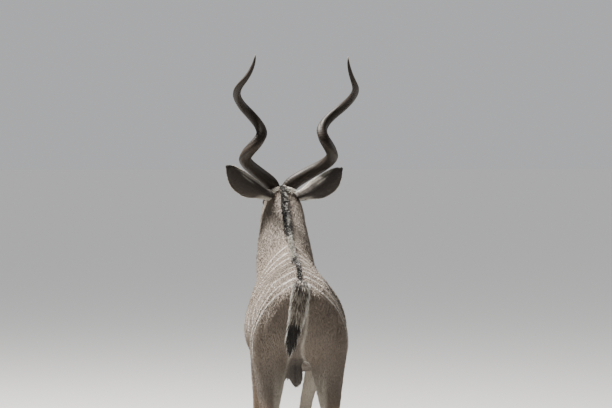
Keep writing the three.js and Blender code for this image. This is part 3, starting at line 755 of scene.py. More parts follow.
# Closed flat tapered tufts, bent from the way they start to the way they end.
# rings holds pairs: place along the tuft, share of its full width
def tuftArrays(roots, start, end, flat, length, wide, rings, thick):
    side = unit(np.cross(start, flat))
    lift = unit(np.cross(side, start))
    tip = 3 * len(rings)
    points = np.empty((len(roots), tip + 1, 3))
    for k, (t, share) in enumerate(rings):
        centre = roots + length[:, None] * (start * (t - t * t / 2) + end * (t * t / 2))
        half = (wide * share / 2)[:, None]
        points[:, 3 * k] = centre - side * half
        points[:, 3 * k + 1] = centre + side * half
        points[:, 3 * k + 2] = centre + lift * half * 2 * thick
    points[:, tip] = roots + length[:, None] * (start + end) / 2
    faces = [(0, 1, 2)]
    around = ((0, 1), (1, 2), (2, 0))
    for k in range(0, tip - 3, 3):
        for i, j in around:
            faces += [(k + j, k + i, k + i + 3), (k + j, k + i + 3, k + j + 3)]
    faces += [(tip - 3 + j, tip - 3 + i, tip) for i, j in around]
    faces = np.arange(len(roots))[:, None, None] * (tip + 1) + np.array(faces)[None]
    return points.reshape(-1, 3), faces.reshape(-1, 3)


# Unwrap of the skin's own shape for the bake map: each part of the body is rolled off round its own axis
def unwrapped(points):
    body, face, x = located(points)
    y, z = body[:, 1], body[:, 2]

    def turned(across, over):
        return np.arctan2(across, over) / (2 * math.pi) + 0.5

    spots = rowsOf(0.02 + 0.52 * (y + 0.75) / 1.5, 0.02 + 0.96 * turned(x, z - 1.0))
    lean = 0.57 * (y - 0.6) + 0.82 * (z - 1.3)
    aboutHead = turned(face[:, 0], face[:, 2] + 0.03)
    hind = y < 0
    cell = 0.02 + 0.24 * (2 * hind + (x > 0))
    aboutLeg = turned(np.abs(x) - 0.15, y - np.where(hind, -0.58, 0.40))
    for share, along, around in (
        (neckShare(body), 0.58 + 0.18 * (lean + 0.5), 0.02 + 0.46 * turned(x, z - 1.3 - 0.6 * (y - 0.7))),
        (headShare(face), 0.58 + 0.18 * (face[:, 1] + 0.08) / 0.5, 0.52 + 0.46 * aboutHead),
        (z < 0.80, 0.80 + 0.18 * z / 0.8, cell + 0.22 * aboutLeg),
    ):
        spots = np.where((share > 0.5)[:, None], rowsOf(along, around), spots)
    return np.clip(spots, 0.003, 0.997)


# A patch about 0.003 across for each tuft
def patchSpots(roots, rings):
    offsets = [(dx, -0.0015 + 0.003 * t) for t, _ in rings for dx in (-0.0012, 0.0012, 0)] + [(0, 0.0015)]
    return (unwrapped(roots)[:, None] + np.array(offsets)[None]).reshape(-1, 2)


# Even places on the skin: one for each equal share of its area times the number wanted there
def scatter(mesh, perArea):
    mesh.calc_loop_triangles()
    corners = readRows(mesh.loop_triangles, "vertices", 3, np.int32)
    points, normals = pointsOf(mesh), normalsOf(mesh)
    a, b, c = (points[corners[:, k]] for k in range(3))
    area = np.linalg.norm(np.cross(b - a, c - a), axis=1) / 2
    wanted = np.cumsum(area * perArea((a + b + c) / 3))
    picks = np.searchsorted(wanted, np.arange(0.5, wanted[-1]))
    u, v = rng.random(len(picks)), rng.random(len(picks))
    flip = u + v > 1
    u, v = np.where(flip, 1 - u, u), np.where(flip, 1 - v, v)
    i, j, k = corners[picks].T

    def read(data):
        return data[i] * (1 - u - v)[:, None] + data[j] * u[:, None] + data[k] * v[:, None]

    return read(points), unit(read(normals))


# The short coat
coatPlan = {
    "body": 0.021,  # length of a tuft
    "neck": 0.026,
    "shin": 0.013,
    "foot": 0.010,
    "face": 0.0095,
    "muzzle": 0.0055,
    "slim": 0.135,  # width for its length
    "cover": 1.24,  # how many lie over each other
    "rise": 0.11,  # how far they stand off
    "sunk": 0.0006,
    "spread": 0.16,  # how much lighter or darker one tuft is than the next
    "thick": 0.4,
    "mostTriangles": 190000,  # in one piece
    "rings": ((0, 0.75), (0.45, 1.0)),
}


def tuftLength(points):
    body, face = toBody(points), toFace(points)
    length = coatPlan["body"] + (coatPlan["neck"] - coatPlan["body"]) * neckShare(body)
    length = length + (coatPlan["shin"] - length) * fade(body[:, 2], 0.40, 0.80)
    length = length + (coatPlan["foot"] - length) * fade(body[:, 2], 0.12, 0.25)
    near = coatPlan["face"] + (coatPlan["muzzle"] - coatPlan["face"]) * smoothStep(face[:, 1], 0.15, 0.33)
    return length + (near - length) * headShare(face)


def tuftDensity(points):
    length = tuftLength(points)
    face = toFace(points)
    bare = (face[:, 1] > 0.362) & (face[:, 2] > -0.034) & (face[:, 2] < 0.012)
    bare |= aboutNostril(face) < 1.7
    bare |= (aboutEye(face)[3] < 1.30) & byEye(face, 0.05)
    bare |= (np.abs(overMouth(face)) < 0.004) & (face[:, 1] > mouth["corner"])
    bare &= headShare(face) > 0.5
    bare |= toBody(points)[:, 2] < 0.060
    return np.where(bare, 0, coatPlan["cover"] / (length * length * coatPlan["slim"]))


# Tufts on their roots, handed in as pieces. Their shades run from root to tip, or else are the markings.
def addTufts(
    name, material, rings, roots, start, end, flat, length, wide,
    shades=None, spread=coatPlan["spread"], thick=coatPlan["thick"],
):
    points, faces = tuftArrays(roots, start, end, flat, length, wide, rings, thick)
    perTuft, perFace = 3 * len(rings) + 1, len(faces) // len(roots)
    if shades is None:
        colours = markings(points)
    else:
        along = np.array([t for t, _ in rings for _ in range(3)] + [1.0])[None, :, None]
        colours = (shades[0][:, None] * (1 - along) + shades[1][:, None] * along).reshape(-1, 3)
    colours = colours * np.repeat(1 + spread * rng.uniform(-1, 1, len(roots)), perTuft)[:, None]
    spots = patchSpots(roots, rings)
    perPiece = coatPlan["mostTriangles"] // perFace
    for number, first in enumerate(range(0, len(roots), perPiece), 1):
        block = slice(first * perTuft, (first + perPiece) * perTuft)
        own = faces[first * perFace:(first + perPiece) * perFace] - first * perTuft
        mesh = meshFromArrays(f"{name}_{number}", points[block], own, colours[block], spots[block])
        addPiece(mesh.name, mesh, material)


def makeCoat():
    roots, normals = scatter(skin.data, tuftDensity)
    count = len(roots)
    length = tuftLength(roots) * rng.uniform(0.75, 1.25, count)
    flow = lieOfHair(roots, normals)
    flow = unit(flow + np.cross(normals, flow) * rng.normal(0, 0.16, count)[:, None])
    rise = coatPlan["rise"] * rng.uniform(0.6, 1.5, count)[:, None]
    start, end = unit(flow + normals * rise * 1.7), unit(flow + normals * rise * 0.2)
    wide = length * coatPlan["slim"] * rng.uniform(0.8, 1.2, count)
    roots = roots - normals * coatPlan["sunk"]
    rings = coatPlan["rings"]
    addTufts("coat", surfaces["tuftFur"], rings, roots, start, end, normals, length, wide)
    print("coat", count, "tufts")


# Materials share one group of nodes: the grain of hair, horn or skin over the colours of the mesh
def newGroup(name, inputs, outputs):
    group = bpy.data.node_groups.new(name, "ShaderNodeTree")
    for way, sockets in (("INPUT", inputs), ("OUTPUT", outputs)):
        for socket, kind, value in sockets:
            made = group.interface.new_socket(name=socket, in_out=way, socket_type=kind)
            if value is not None:
                made.default_value = value
    return group, group.nodes.new("NodeGroupInput"), group.nodes.new("NodeGroupOutput")


def addNode(tree, kind, links=(), given=(), **settings):
    node = tree.nodes.new(kind)
    for key, value in settings.items():
        setattr(node, key, value)
    for socket, value in dict(given).items():
        node.inputs[socket].default_value = value
    for socket, source in links:
        tree.links.new(source, node.inputs[socket])
    return node


def furGroup():
    group, given, out = newGroup(
        "furShade",
        [
            ("Shade", "NodeSocketColor", (0.3, 0.3, 0.3, 1)),
            ("Grain", "NodeSocketFloat", 260.0),
            ("Contrast", "NodeSocketFloat", 0.3),
        ],
        [("Color", "NodeSocketColor", None), ("Height", "NodeSocketFloat", None)],
    )
    shade, grain, contrast = (given.outputs[name] for name in ("Shade", "Grain", "Contrast"))
    place = addNode(group, "ShaderNodeTexCoord").outputs["Object"]
    stretch = addNode(group, "ShaderNodeMapping", [("Vector", place)], {"Scale": (1, 0.35, 0.45)})
    links = [("Vector", stretch.outputs[0]), ("Scale", grain)]
    noise = addNode(group, "ShaderNodeTexNoise", links, {"Detail": 3.0}).outputs["Fac"]
    low = addNode(group, "ShaderNodeMath", [(1, contrast)], {0: 1}, operation="SUBTRACT")
    high = addNode(group, "ShaderNodeMath", [(1, contrast)], {0: 1}, operation="ADD")
    links = [("Value", noise), ("To Min", low.outputs[0]), ("To Max", high.outputs[0])]
    span = addNode(group, "ShaderNodeMapRange", links, {"From Min": 0.25, "From Max": 0.75})
    links = [(0, shade), ("Scale", span.outputs[0])]
    tint = addNode(group, "ShaderNodeVectorMath", links, operation="SCALE")
    group.links.new(tint.outputs[0], out.inputs["Color"])
    group.links.new(noise, out.inputs["Height"])
    return group


furShade = furGroup()


def grainedMaterial(name, grain, contrast, bump, bumpReach, shine):
    paint = bpy.data.materials.new(name)
    paint.use_nodes = True
    tree = paint.node_tree
    shader = tree.nodes["Principled BSDF"]
    for socket, value in shine.items():
        shader.inputs[socket].default_value = value
    shade = addNode(tree, "ShaderNodeAttribute", attribute_name="coatShade").outputs["Color"]
    fur = addNode(tree, "ShaderNodeGroup", node_tree=furShade)
    fur.inputs["Grain"].default_value = grain
    fur.inputs["Contrast"].default_value = contrast
    tree.links.new(shade, fur.inputs["Shade"])
    tree.links.new(fur.outputs["Color"], shader.inputs["Base Color"])
    if bump:
        links = [("Height", fur.outputs["Height"])]
        bumped = addNode(tree, "ShaderNodeBump", links, {"Strength": bump, "Distance": bumpReach})
        tree.links.new(bumped.outputs["Normal"], shader.inputs["Normal"])
    return paint


furShine = {"Roughness": 0.72, "Sheen Weight": 0.12, "Sheen Roughness": 0.5, "Specular IOR Level": 0.35}
hardShine = {"Coat Weight": 0.0, "Coat Roughness": 0.05}
eyeShine = {"Roughness": 0.07, "Coat Weight": 0.10, "Specular IOR Level": 0.3}
surfacePlan = {  # grain, contrast, bump and its reach, shine
    "skinFur": (420.0, 0.30, 0.7, 0.002, furShine),
    "tuftFur": (300.0, 0.12, 0, 0.002, furShine),
    "earFur": (420.0, 0.25, 0.5, 0.002, furShine),
    "longFur": (240.0, 0.10, 0, 0.002, {**furShine, "Roughness": 0.6, "Sheen Weight": 0.08}),
    "lidSkin": (500.0, 0.15, 0.3, 0.002, {**furShine, "Roughness": 0.55, "Sheen Weight": 0.05}),
    "eyeGloss": (300.0, 0.10, 0, 0.001, {**eyeShine, "Coat Roughness": 0.05}),
    "hornGloss": (160.0, 0.30, 0.5, 0.001, {**hardShine, "Roughness": 0.52, "Specular IOR Level": 0.22}),
    "hoofGloss": (220.0, 0.20, 0.3, 0.001, {**hardShine, "Roughness": 0.45, "Coat Weight": 0.04}),
}
surfaces = {name: grainedMaterial(name, *plan) for name, plan in surfacePlan.items()}
paintPoints(skin.data, markings(pointsOf(skin.data)))
skin.data.materials.append(surfaces["skinFur"])
makeCoat()
skinFaces = [tuple(face.vertices) for face in skin.data.polygons]
skinTree = BVHTree.FromPolygons([Vector(p) for p in pointsOf(skin.data)], skinFaces)

# Eyes: a ball with a dark iris and a long level pupil
eyePlan = {
    "segments": (48, 36),
    "iris": (0.62, 0.68),  # its edge, as a share of the ball
    "pupil": (0.0098, 0.0055),
    "bulge": 0.045,
}
eyeShades = {"white": (0.050, 0.036, 0.030), "iris": (0.026, 0.011, 0.005), "pupil": (0.004, 0.003, 0.003)}


# From the eye's own plane to its place on one side of the face
def byLids(flat, height, sign):
    spots = flat[:, :1] * eyeAlong + flat[:, 1:2] * eyeUp + height[:, None] * eyeOut + eyeSpot
    return fromFace(mirrored(spots, sign))


def lidCurve(turns):
    slim = 1 - lidPlan["slim"] * np.abs(np.cos(turns))
    return rowsOf(np.cos(turns) * lidPlan["long"], np.sin(turns) * lidPlan["high"] * slim)


def makeEyes():
    for side, sign in sides:
        bm = bmesh.new()
        across, up = eyePlan["segments"]
        bmesh.ops.create_uvsphere(bm, u_segments=across, v_segments=up, radius=lidPlan["ball"])
        mesh = smoothMesh("eyeBall", bm)
        local = pointsOf(mesh)
        along, up, out = local.T
        away = np.sqrt(along ** 2 + up ** 2) / lidPlan["ball"]
        bulge = 1 + eyePlan["bulge"] * fade(away, 0.3, eyePlan["iris"][0]) * (out > 0)
        shade = np.tile(eyeShades["white"], (len(local), 1))
        paint = painter(shade, eyeShades)
        paint("iris", fade(away, *eyePlan["iris"]))
        paint("pupil", fade((along / eyePlan["pupil"][0]) ** 2 + (up / eyePlan["pupil"][1]) ** 2, 0.8, 1.2))
        setPoints(mesh, byLids(local[:, :2] * bulge[:, None], out * bulge, sign))
        if sign < 0:
            mesh.flip_normals()
        paintPoints(mesh, shade)
        addPiece(f"eye_{side}", mesh, surfaces["eyeGloss"], [f"eye_{side}"])


# Lids: a rolled rim that meets the ball and runs out into the skin
lidRims = (  # size of the ring, rise over the ball
    (0.90, 0.0),
    (0.955, 0.0012),
    (1.00, 0.0026),
    (1.07, 0.0036),
    (1.16, 0.0040),
    (1.28, 0.0034),
)
lidSkirt = (  # size of the ring, how much it follows the skin, rise over it
    (1.42, 0.45, 0.0010),
    (1.55, 0.85, 0.0002),
    (1.68, 1, -0.0010),
    (1.85, 1, -0.0030),
)


def makeLids():
    turns = np.linspace(0, 2 * math.pi, 73)[:-1]
    ways = lidCurve(turns)
    upper = 0.35 + 0.65 * (np.sin(turns) > -0.2)
    start = 0.09  # outside the skin
    for side, sign in sides:
        inward = Vector(-mirrored(eyeOut, sign) @ faceTurn.T)

        def skinHeight(flat):
            starts = byLids(flat, np.full(len(flat), start), sign)
            hits = [skinTree.ray_cast(Vector(spot), inward) for spot in starts]
            return np.array([start - hit[3] if hit[3] is not None else 0.0 for hit in hits])

        rows = [(ways * 0.86, ballHeight(*(ways * 0.86).T) - 0.003)]
        for ring, rise in lidRims:
            rows.append((ways * ring, ballHeight(*(ways * ring).T) + rise * upper + 0.0002))
        lastHeight = rows[-1][1]
        for ring, share, rise in lidSkirt:
            rows.append((ways * ring, lastHeight * (1 - share) + (skinHeight(ways * ring) + rise) * share))
        bm = bmesh.new()
        verts = [[bm.verts.new(p) for p in byLids(flat, height, sign)] for flat, height in rows]
        for near, far in zip(verts, verts[1:]):
            for i in range(len(turns)):
                j = (i + 1) % len(turns)
                bm.faces.new([near[i], near[j], far[j], far[i]])
        bmesh.ops.solidify(bm, geom=bm.faces[:], thickness=0.0008)
        mesh = smoothMesh(f"lids_{side}", bm)
        paintPoints(mesh, markings(pointsOf(mesh)))
        addPiece(f"lids_{side}", mesh, surfaces["lidSkin"])


# Finds the nearest of some known points for each new one: merging leaves a tube's points in another order
def nearestKnown(known, points):
    tree = KDTree(len(known))
    for i, point in enumerate(known):
        tree.insert(point, i)
    tree.balance()
    return np.array([tree.find(point)[1] for point in points])


# Horns: two and a half turns, keeled, ringed towards the base and pale at the tip
hornRows = [  # rise over the poll, x, y, turn, swing, radius
    (-0.112, 0.036, 0.040, 112, 0.026, 0.030),
    (-0.062, 0.042, 0.026, 100, 0.034, 0.041),
    (-0.008, 0.054, -0.006, 88, 0.042, 0.039),
    (0.052, 0.100, -0.042, 50, 0.056, 0.036),
    (0.118, 0.157, -0.080, 0, 0.064, 0.033),
    (0.204, 0.200, -0.128, -88, 0.066, 0.0305),
    (0.292, 0.234, -0.174, -180, 0.064, 0.028),
    (0.392, 0.250, -0.224, -270, 0.064, 0.0245),
    (0.494, 0.257, -0.270, -358, 0.059, 0.0195),
    (0.562, 0.259, -0.306, -412, 0.044, 0.014),
    (0.630, 0.256, -0.340, -446, 0.025, 0.0085),
    (0.682, 0.252, -0.366, -466, 0.008, 0.002),
]
hornPlan = {
    "poll": 0.068,
    "thicken": 0.93,
    "keel": 0.26,
    "flatten": 0.06,
    "ringGap": 0.0115,
    "ringHeight": 0.0026,
    "groove": 0.0008,
    "around": 44,
    "along": 300,
}
hornShades = {
    "base": (0.024, 0.018, 0.013),
    "worn": (0.056, 0.042, 0.031),
    "groove": (0.009, 0.007, 0.006),
    "tip": (0.500, 0.420, 0.320),
}
hornAt = curveThrough(hornRows)


def hornCentre(t):
    row = hornAt(t)
    turn = np.radians(row[:, 3])
    x, y = row[:, 1] + row[:, 4] * np.cos(turn), row[:, 2] + row[:, 4] * np.sin(turn)
    return rowsOf(x, y, row[:, 0] + hornPlan["poll"])


def makeHorns():
    steps = np.linspace(0, 1, 800)
    travelled = np.cumsum(np.linalg.norm(np.diff(hornCentre(steps), axis=0), axis=1))
    travelled = np.concatenate([[0], travelled])
    for side, sign in sides:
        kept = {}

        def place(t, angle):
            row = hornAt(t)
            along = heading(hornCentre, t, 0.01)
            turn = np.radians(row[:, 3])
            outward = rowsOf(np.cos(turn), np.sin(turn), 0)
            outward = unit(outward - along * (outward * along).sum(1, keepdims=True))
            across = np.cross(along, outward)
            x, y = np.cos(angle), np.sin(angle)
            arc = np.interp(t, steps, travelled)
            phase = arc / hornPlan["ringGap"] + 0.9 * softNoise(rowsOf(x, y, arc * 6), 1.1, 31 + sign)
            rings = (0.75 + 0.25 * x) * fade(t, 0.30, 0.72) * (np.abs(np.sin(math.pi * phase)) ** 0.6 - 0.7)
            grooves = softNoise(rowsOf(x * 7, y * 7, arc * 9), 1.0, 33) * fade(t, 0.6, 0.9)
            keel = 1 + hornPlan["keel"] * np.maximum(x, 0) ** 6 - hornPlan["flatten"] * np.cos(2 * angle)
            radius = row[:, 5] * hornPlan["thicken"] * keel
            radius += hornPlan["ringHeight"] * rings + hornPlan["groove"] * grooves
            spots = hornCentre(t) + (outward * x[:, None] + across * y[:, None]) * radius[:, None]
            kept.update(t=t, front=np.maximum(x, 0), rings=rings, grooves=grooves)
            kept["spots"] = fromHead(mirrored(spots, sign))
            return kept["spots"]

        mesh = tubeMesh(f"horn_{side}", hornPlan["around"], hornPlan["along"], place)
        index = nearestKnown(kept["spots"], pointsOf(mesh))
        t, front, rings, grooves = (kept[name][index] for name in ("t", "front", "rings", "grooves"))
        shade = np.tile(hornShades["base"], (len(t), 1))
        paint = painter(shade, hornShades)
        paint("worn", 0.75 * front ** 3 * (0.55 + 0.45 * grooves))
        paint("worn", 0.35 * smoothStep(rings, 0.05, 0.25))
        paint("groove", 0.8 * smoothStep(-rings, 0.15, 0.5))
        paint("groove", 0.5 * smoothStep(-grooves, 0.2, 0.7))
        paint("tip", smoothStep(t, 0.955, 0.995))
        paintPoints(mesh, shade)
        addPiece(f"horn_{side}", mesh, surfaces["hornGloss"], [f"horn_{side}"])


# Ears: deep leaves with a thick root, a low lobe and rolled edges
earPlan = {
    "root": (0.072, -0.048, -0.004),
    "tip": (0.320, -0.092, 0.158),
    "turn": 0.014,
    "halfWidth": 0.062,
    "lobe": 0.026,
    "corner": 0.005,  # how much fuller the lower edge is near the tip
    "depth": 0.044,
    "wall": 0.0024,
    "rootWall": 0.020,
    "tufts": 4600,  # short hair over the back
    "hairs": 1250,  # longer pale hair round the cup
    "hairWidth": 0.0012,
}
earRows = [  # width, wall, depth, as shares
    (0.42, 1, 0.2),
    (0.5, 0.8, 0.62),
    (0.68, 0.42, 1),
    (0.9, 0.12, 1),
    (1, 0, 0.9),
    (1.00, 0, 0.78),
    (0.97, 0, 0.62),
    (0.82, 0, 0.42),
    (0.52, 0, 0.2),
    (0.06, 0, 0.03),
]
earAt = curveThrough(earRows)
earShades = {
    "back": (0.072, 0.058, 0.048),
    "tip": (0.030, 0.026, 0.023),
    # rim: the pale hair of the edges, and also a painted highlight on the back
    "rim": (0.680, 0.640, 0.560),
    "inner": (0.200, 0.152, 0.126),
    # deep: painted shade in the hollow of the cup
    "deep": (0.060, 0.042, 0.034),
    "hair": (0.780, 0.745, 0.670),
}


# Points of an ear: t from root to tip, over from upper to lower edge, layer -1 inside and 1 on the back
def earSpots(sign, t, over, layer):
    root = np.array(earPlan["root"])
    axis = np.array(earPlan["tip"]) - root + (-sign * earPlan["turn"], 0, 0)
    length = np.linalg.norm(axis)
    axis = axis / length
    back = np.array([0.16, -1, 0.1])
    back = unit(back - axis * back.dot(axis))
    row = earAt(t)
    belly = np.maximum(np.sin(math.pi * t), 0)
    wall = earPlan["wall"] + earPlan["rootWall"] * np.maximum(row[:, 1], 0)
    cup = earPlan["depth"] * row[:, 2] * (0.6 - over ** 2)
    lobe = earPlan["lobe"] * belly ** 1.4 + earPlan["corner"] * bell(t - 0.76, 0.17) * fade(t, 0.9, 1)
    roll = 0.006 * smoothStep(np.abs(over), 0.82, 1.0) * belly
    fold = 0.004 * np.sin(9 * over) * bell(t - 0.18, 0.14) * (layer < 0)
    spots = root + axis * (length * t)[:, None]
    half = earPlan["halfWidth"] * row[:, 0] - 0.4 * roll
    spots = spots + np.cross(axis, back) * (over * half + lobe)[:, None]
    spots = spots + back * (cup + layer * wall + roll + fold)[:, None]
    return fromHead(mirrored(spots, sign))


def earShade(t, over, layer):
    shade = np.tile(earShades["back"], (len(t), 1))
    paint = painter(shade, earShades)
    inside = (layer < 0).astype(float)
    edge = np.abs(over)
    paint("inner", inside)
    # Painted shade deep in the cup, near the root
    paint("deep", inside * fade(edge, 0.1, 0.5) * fade(t, 0.25, 0.60))
    paint("tip", 0.9 * smoothStep(t, 0.86, 0.95))
    paint("rim", 0.9 * smoothStep(edge, 0.90, 0.97) * fade(t, 0.84, 0.92))
    paint("rim", 0.7 * (1 - inside) * fade(t, 0.10, 0.28) * smoothStep(over, 0.1, 0.6))
    paint("rim", 0.55 * (1 - inside) * fade(over, -0.80, -0.62) * band(t, 0.02, 0.12, 0.72, 0.85))
    # Painted highlight: a pale streak across the back below the upper edge, for light on a fold of the ear
    paint("rim", 0.5 * (1 - inside) * bell(over + 0.35 + 0.3 * t, 0.06) * band(t, 0.35, 0.5, 0.60, 0.72))
    return shade


def makeEarTufts(side, sign):
    count = earPlan["tufts"]
    t, over = rng.uniform(0.02, 0.97, count), rng.uniform(-0.99, 0.99, count)
    layer = np.sqrt(1 - over ** 2)
    roots = earSpots(sign, t, over, layer)
    flow = unit(earSpots(sign, t + 0.01, over, layer) - roots)
    widthways = unit(earSpots(sign, t, over + 0.005, layer) - roots)
    normals = unit(np.cross(flow, widthways))
    middle = earSpots(sign, t, over * 0, np.full(count, -3.0))
    normals *= np.sign(((roots - middle) * normals).sum(1))[:, None]
    length = rng.uniform(0.007, 0.012, count)
    flow = unit(flow + widthways * rng.normal(0, 0.18, count)[:, None])
    shade = earShade(t, over, layer)
    addTufts(
        f"ear_coat_{side}", surfaces["tuftFur"], coatPlan["rings"], roots - normals * 0.0004,
        unit(flow + 0.22 * normals), flow, normals, length, length * 0.22, (shade, shade), 0.22,
    )


def makeEarHair(side, sign):
    count = earPlan["hairs"]
    t = rng.uniform(0.04, 0.82, count)
    edge = np.sign(rng.uniform(-1, 1, count))
    over = edge * (0.99 - 0.42 * rng.random(count) ** 1.6)
    layer = -np.sqrt(1 - over ** 2)
    roots = earSpots(sign, t, over, layer)
    inward = unit(earSpots(sign, t, over - edge * 0.1, layer) - roots)
    tipward = unit(earSpots(sign, np.minimum(t + 0.02, 1), over, layer) - roots)
    outOfCup = unit(earSpots(sign, t, over, layer - 1) - roots)
    start = unit(outOfCup * 0.28 + inward * 0.45 + tipward * 0.8 + rng.normal(0, 0.10, (count, 3)))
    end = unit(inward * 0.45 + tipward + outOfCup * 0.02)
    length = rng.uniform(0.014, 0.036, count)
    shade = np.tile(earShades["hair"], (count, 1))
    addTufts(
        f"ear_hair_{side}", surfaces["tuftFur"], lockRings, roots, start, end, outOfCup,
        length, np.full(count, earPlan["hairWidth"]), (shade, shade), 0.15,
    )


def makeEars():
    for side, sign in sides:
        kept = {}

        def place(t, angle):
            over, layer = np.cos(angle), np.sin(angle)
            kept.update(spots=earSpots(sign, t, over, layer), shades=earShade(t, over, layer))
            return kept["spots"]

        mesh = tubeMesh(f"ear_{side}", 96, 72, place)
        paintPoints(mesh, kept["shades"][nearestKnown(kept["spots"], pointsOf(mesh))])
        addPiece(f"ear_{side}", mesh, surfaces["earFur"], [f"ear_{side}"])
        makeEarTufts(side, sign)
        makeEarHair(side, sign)


# Long hair: each lock starts on the skin and bends over
lockRings = ((0, 0.75), (0.2, 1.0), (0.42, 0.92), (0.64, 0.72), (0.84, 0.42))
lockPlan = {"sunk": 0.004, "spread": 0.2, "thick": 0.3}
hairPlan = {  # count, full length and width
    "mane": (1500, 0.060, 0.0042),
    "crest": (1500, 0.068, 0.0038),
    "fringe": (1500, 0.122, 0.0050),
    "beard": (420, 0.075, 0.0036),
    "poll": (800, 0.026, 0.0032),
    "tail_hair": (3200, 0.092, 0.0040),
}
napeLine = curveThrough([  # y, z of the nape from withers to poll
    (0.330, 1.350), (0.415, 1.412), (0.500, 1.436), (0.590, 1.468), (0.680, 1.510),
    (0.765, 1.562), (0.838, 1.612), (0.892, 1.648), (0.950, 1.656),
])
throatLine = curveThrough([  # y, z of the underside from brisket to jaw
    (0.590, 0.880), (0.684, 0.985), (0.735, 1.076), (0.785, 1.162), (0.834, 1.244),
    (0.880, 1.326), (0.920, 1.398), (0.952, 1.455), (0.985, 1.508),
])
maneWhites = (  # places along the nape, and reach
    (0.94, 0.022),
    (0.77, 0.016),
    (0.45, 0.050),
    (0.13, 0.115),
)


def onSkin(spots, way):
    hits = [skinTree.ray_cast(Vector(spot), Vector(way)) for spot in spots]
    kept = np.array([k for k, hit in enumerate(hits) if hit[0] is not None])
    return kept, np.array([hits[k][0] for k in kept]), np.array([hits[k][1] for k in kept])


# Roots on the skin under or over a line, with t for each
def alongLine(line, t, spread, out, away):
    y, z = line(t).T
    spots = rowsOf(sway(y) + rng.normal(0, spread, len(t)), y, z) + np.array(out) * away
    kept, roots, normals = onSkin(fromBody(spots), -np.array(out))
    return t[kept], roots, normals


def addLocks(name, roots, start, end, flat, length, wide, rootShade, tipShade, slot="body_coat"):
    start, end = unit(start), unit(end)
    roots, wide = roots - start * lockPlan["sunk"], np.full(len(roots), wide)
    addTufts(
        name, surfaces["longFur"], lockRings, roots, start, end, flat, length, wide,
        (rootShade, tipShade), lockPlan["spread"], lockPlan["thick"],
    )


def pick(share, first, second):
    chosen = rng.random(len(share)) < share
    return np.where(chosen[:, None], np.array(coatShades[first]), np.array(coatShades[second]))


def darkAndWhite(dark):
    return pick(np.clip(dark + 0.2, 0, 1), "dark", "white"), pick(dark, "dark", "white")


def makeMane():
    count, full, wide = hairPlan["mane"]
    t = rng.uniform(0.10, 0.97, count)
    t, roots, normals = alongLine(napeLine, t, 0.005, (0, -0.44, 0.90), 0.15)
    n = len(t)
    right = np.where(rng.random(n) < 0.45 + 0.30 * smoothStep(t, 0.55, 0.75), 0.0, 0.85)
    right = right + 0.16 * rng.normal(0, 1, n)
    start = rowsOf(0.35 * right, -0.55 + 0.1 * rng.normal(0, 1, n), 0.72)
    end = rowsOf(0.7 * right, -0.75, -0.35)
    length = full * (0.55 + 0.45 * np.sin(math.pi * t)) * rng.uniform(0.7, 1.1, n)
    white = sum(bell(t - place, reach) for place, reach in maneWhites)
    dark = np.clip(0.95 - (0.10 + 0.75 * white) * (right > 0.3), 0, 1)
    addLocks("mane", roots, start, end, normals, length, wide, *darkAndWhite(dark))


def makeCrest():
    count, full, wide = hairPlan["crest"]
    y = rng.uniform(-0.615, 0.44, count)
    spots = rowsOf(sway(y) + rng.normal(0, 0.006, count), y, 1.6)
    kept, roots, normals = onSkin(fromBody(spots), (0, 0, -1))
    y, n = y[kept], len(kept)
    withers = smoothStep(y, 0.0, 0.28)
    lean = rng.normal(0, 0.26, n) * (1 - 0.55 * withers)
    start = rowsOf(lean, -0.75, 0.35 + 0.5 * withers)
    end = rowsOf(lean * 1.6, -1.0, -0.10)
    length = full * (0.36 + 0.64 * smoothStep(y, -0.45, 0.35)) * rng.uniform(0.65, 1.1, n)
    addLocks("crest", roots, start, end, normals, length, wide, *darkAndWhite(0.80 * fade(y, 0.02, 0.16)))


def makeFringe():
    count, full, wide = hairPlan["fringe"]
    t = rng.uniform(0.08, 0.95, count)
    t, roots, normals = alongLine(throatLine, t, 0.013, (0, 0.846, -0.532), 0.2)
    n = len(t)
    sideways = rng.normal(0, 0.12, n)
    start = rowsOf(sideways, 0.42, -0.75)
    end = rowsOf(sideways * 0.5, -0.12 + 0.1 * rng.normal(0, 1, n), -1.0)
    length = full * (0.5 + 0.5 * np.sin(math.pi * t) ** 0.7) * rng.uniform(0.7, 1.08, n)
    dark = np.clip(0.72 + 0.35 * softNoise(rowsOf(t * 9, 0, 0), 1.0, 43), 0, 1)
    rootShade = np.tile(coatShades["back"], (n, 1))
    addLocks("fringe", roots, start, end, normals, length, wide, rootShade, pick(dark, "dark", "pale"))


def makeBeard():
    count, full, wide = hairPlan["beard"]
    y = rng.uniform(-0.01, 0.24, count)
    spots = rowsOf(rng.normal(0, 0.009, count), y, -0.25)
    kept, roots, normals = onSkin(fromFace(spots), faceTurn @ np.array([0, 0, 1]))
    y, n = y[kept], len(kept)
    sideways = rng.normal(0, 0.12, n)
    start = rowsOf(sideways, -0.25, -0.9)
    end = rowsOf(sideways * 0.5, -0.35, -1.0)
    length = full * (1 - 0.72 * smoothStep(y, 0.03, 0.24)) * rng.uniform(0.6, 1.05, n)
    rootShade, tipShade = pick(np.full(n, 0.3), "dark", "back"), pick(np.full(n, 0.55), "dark", "pale")
    addLocks("beard", roots, start, end, normals, length, wide, rootShade, tipShade)


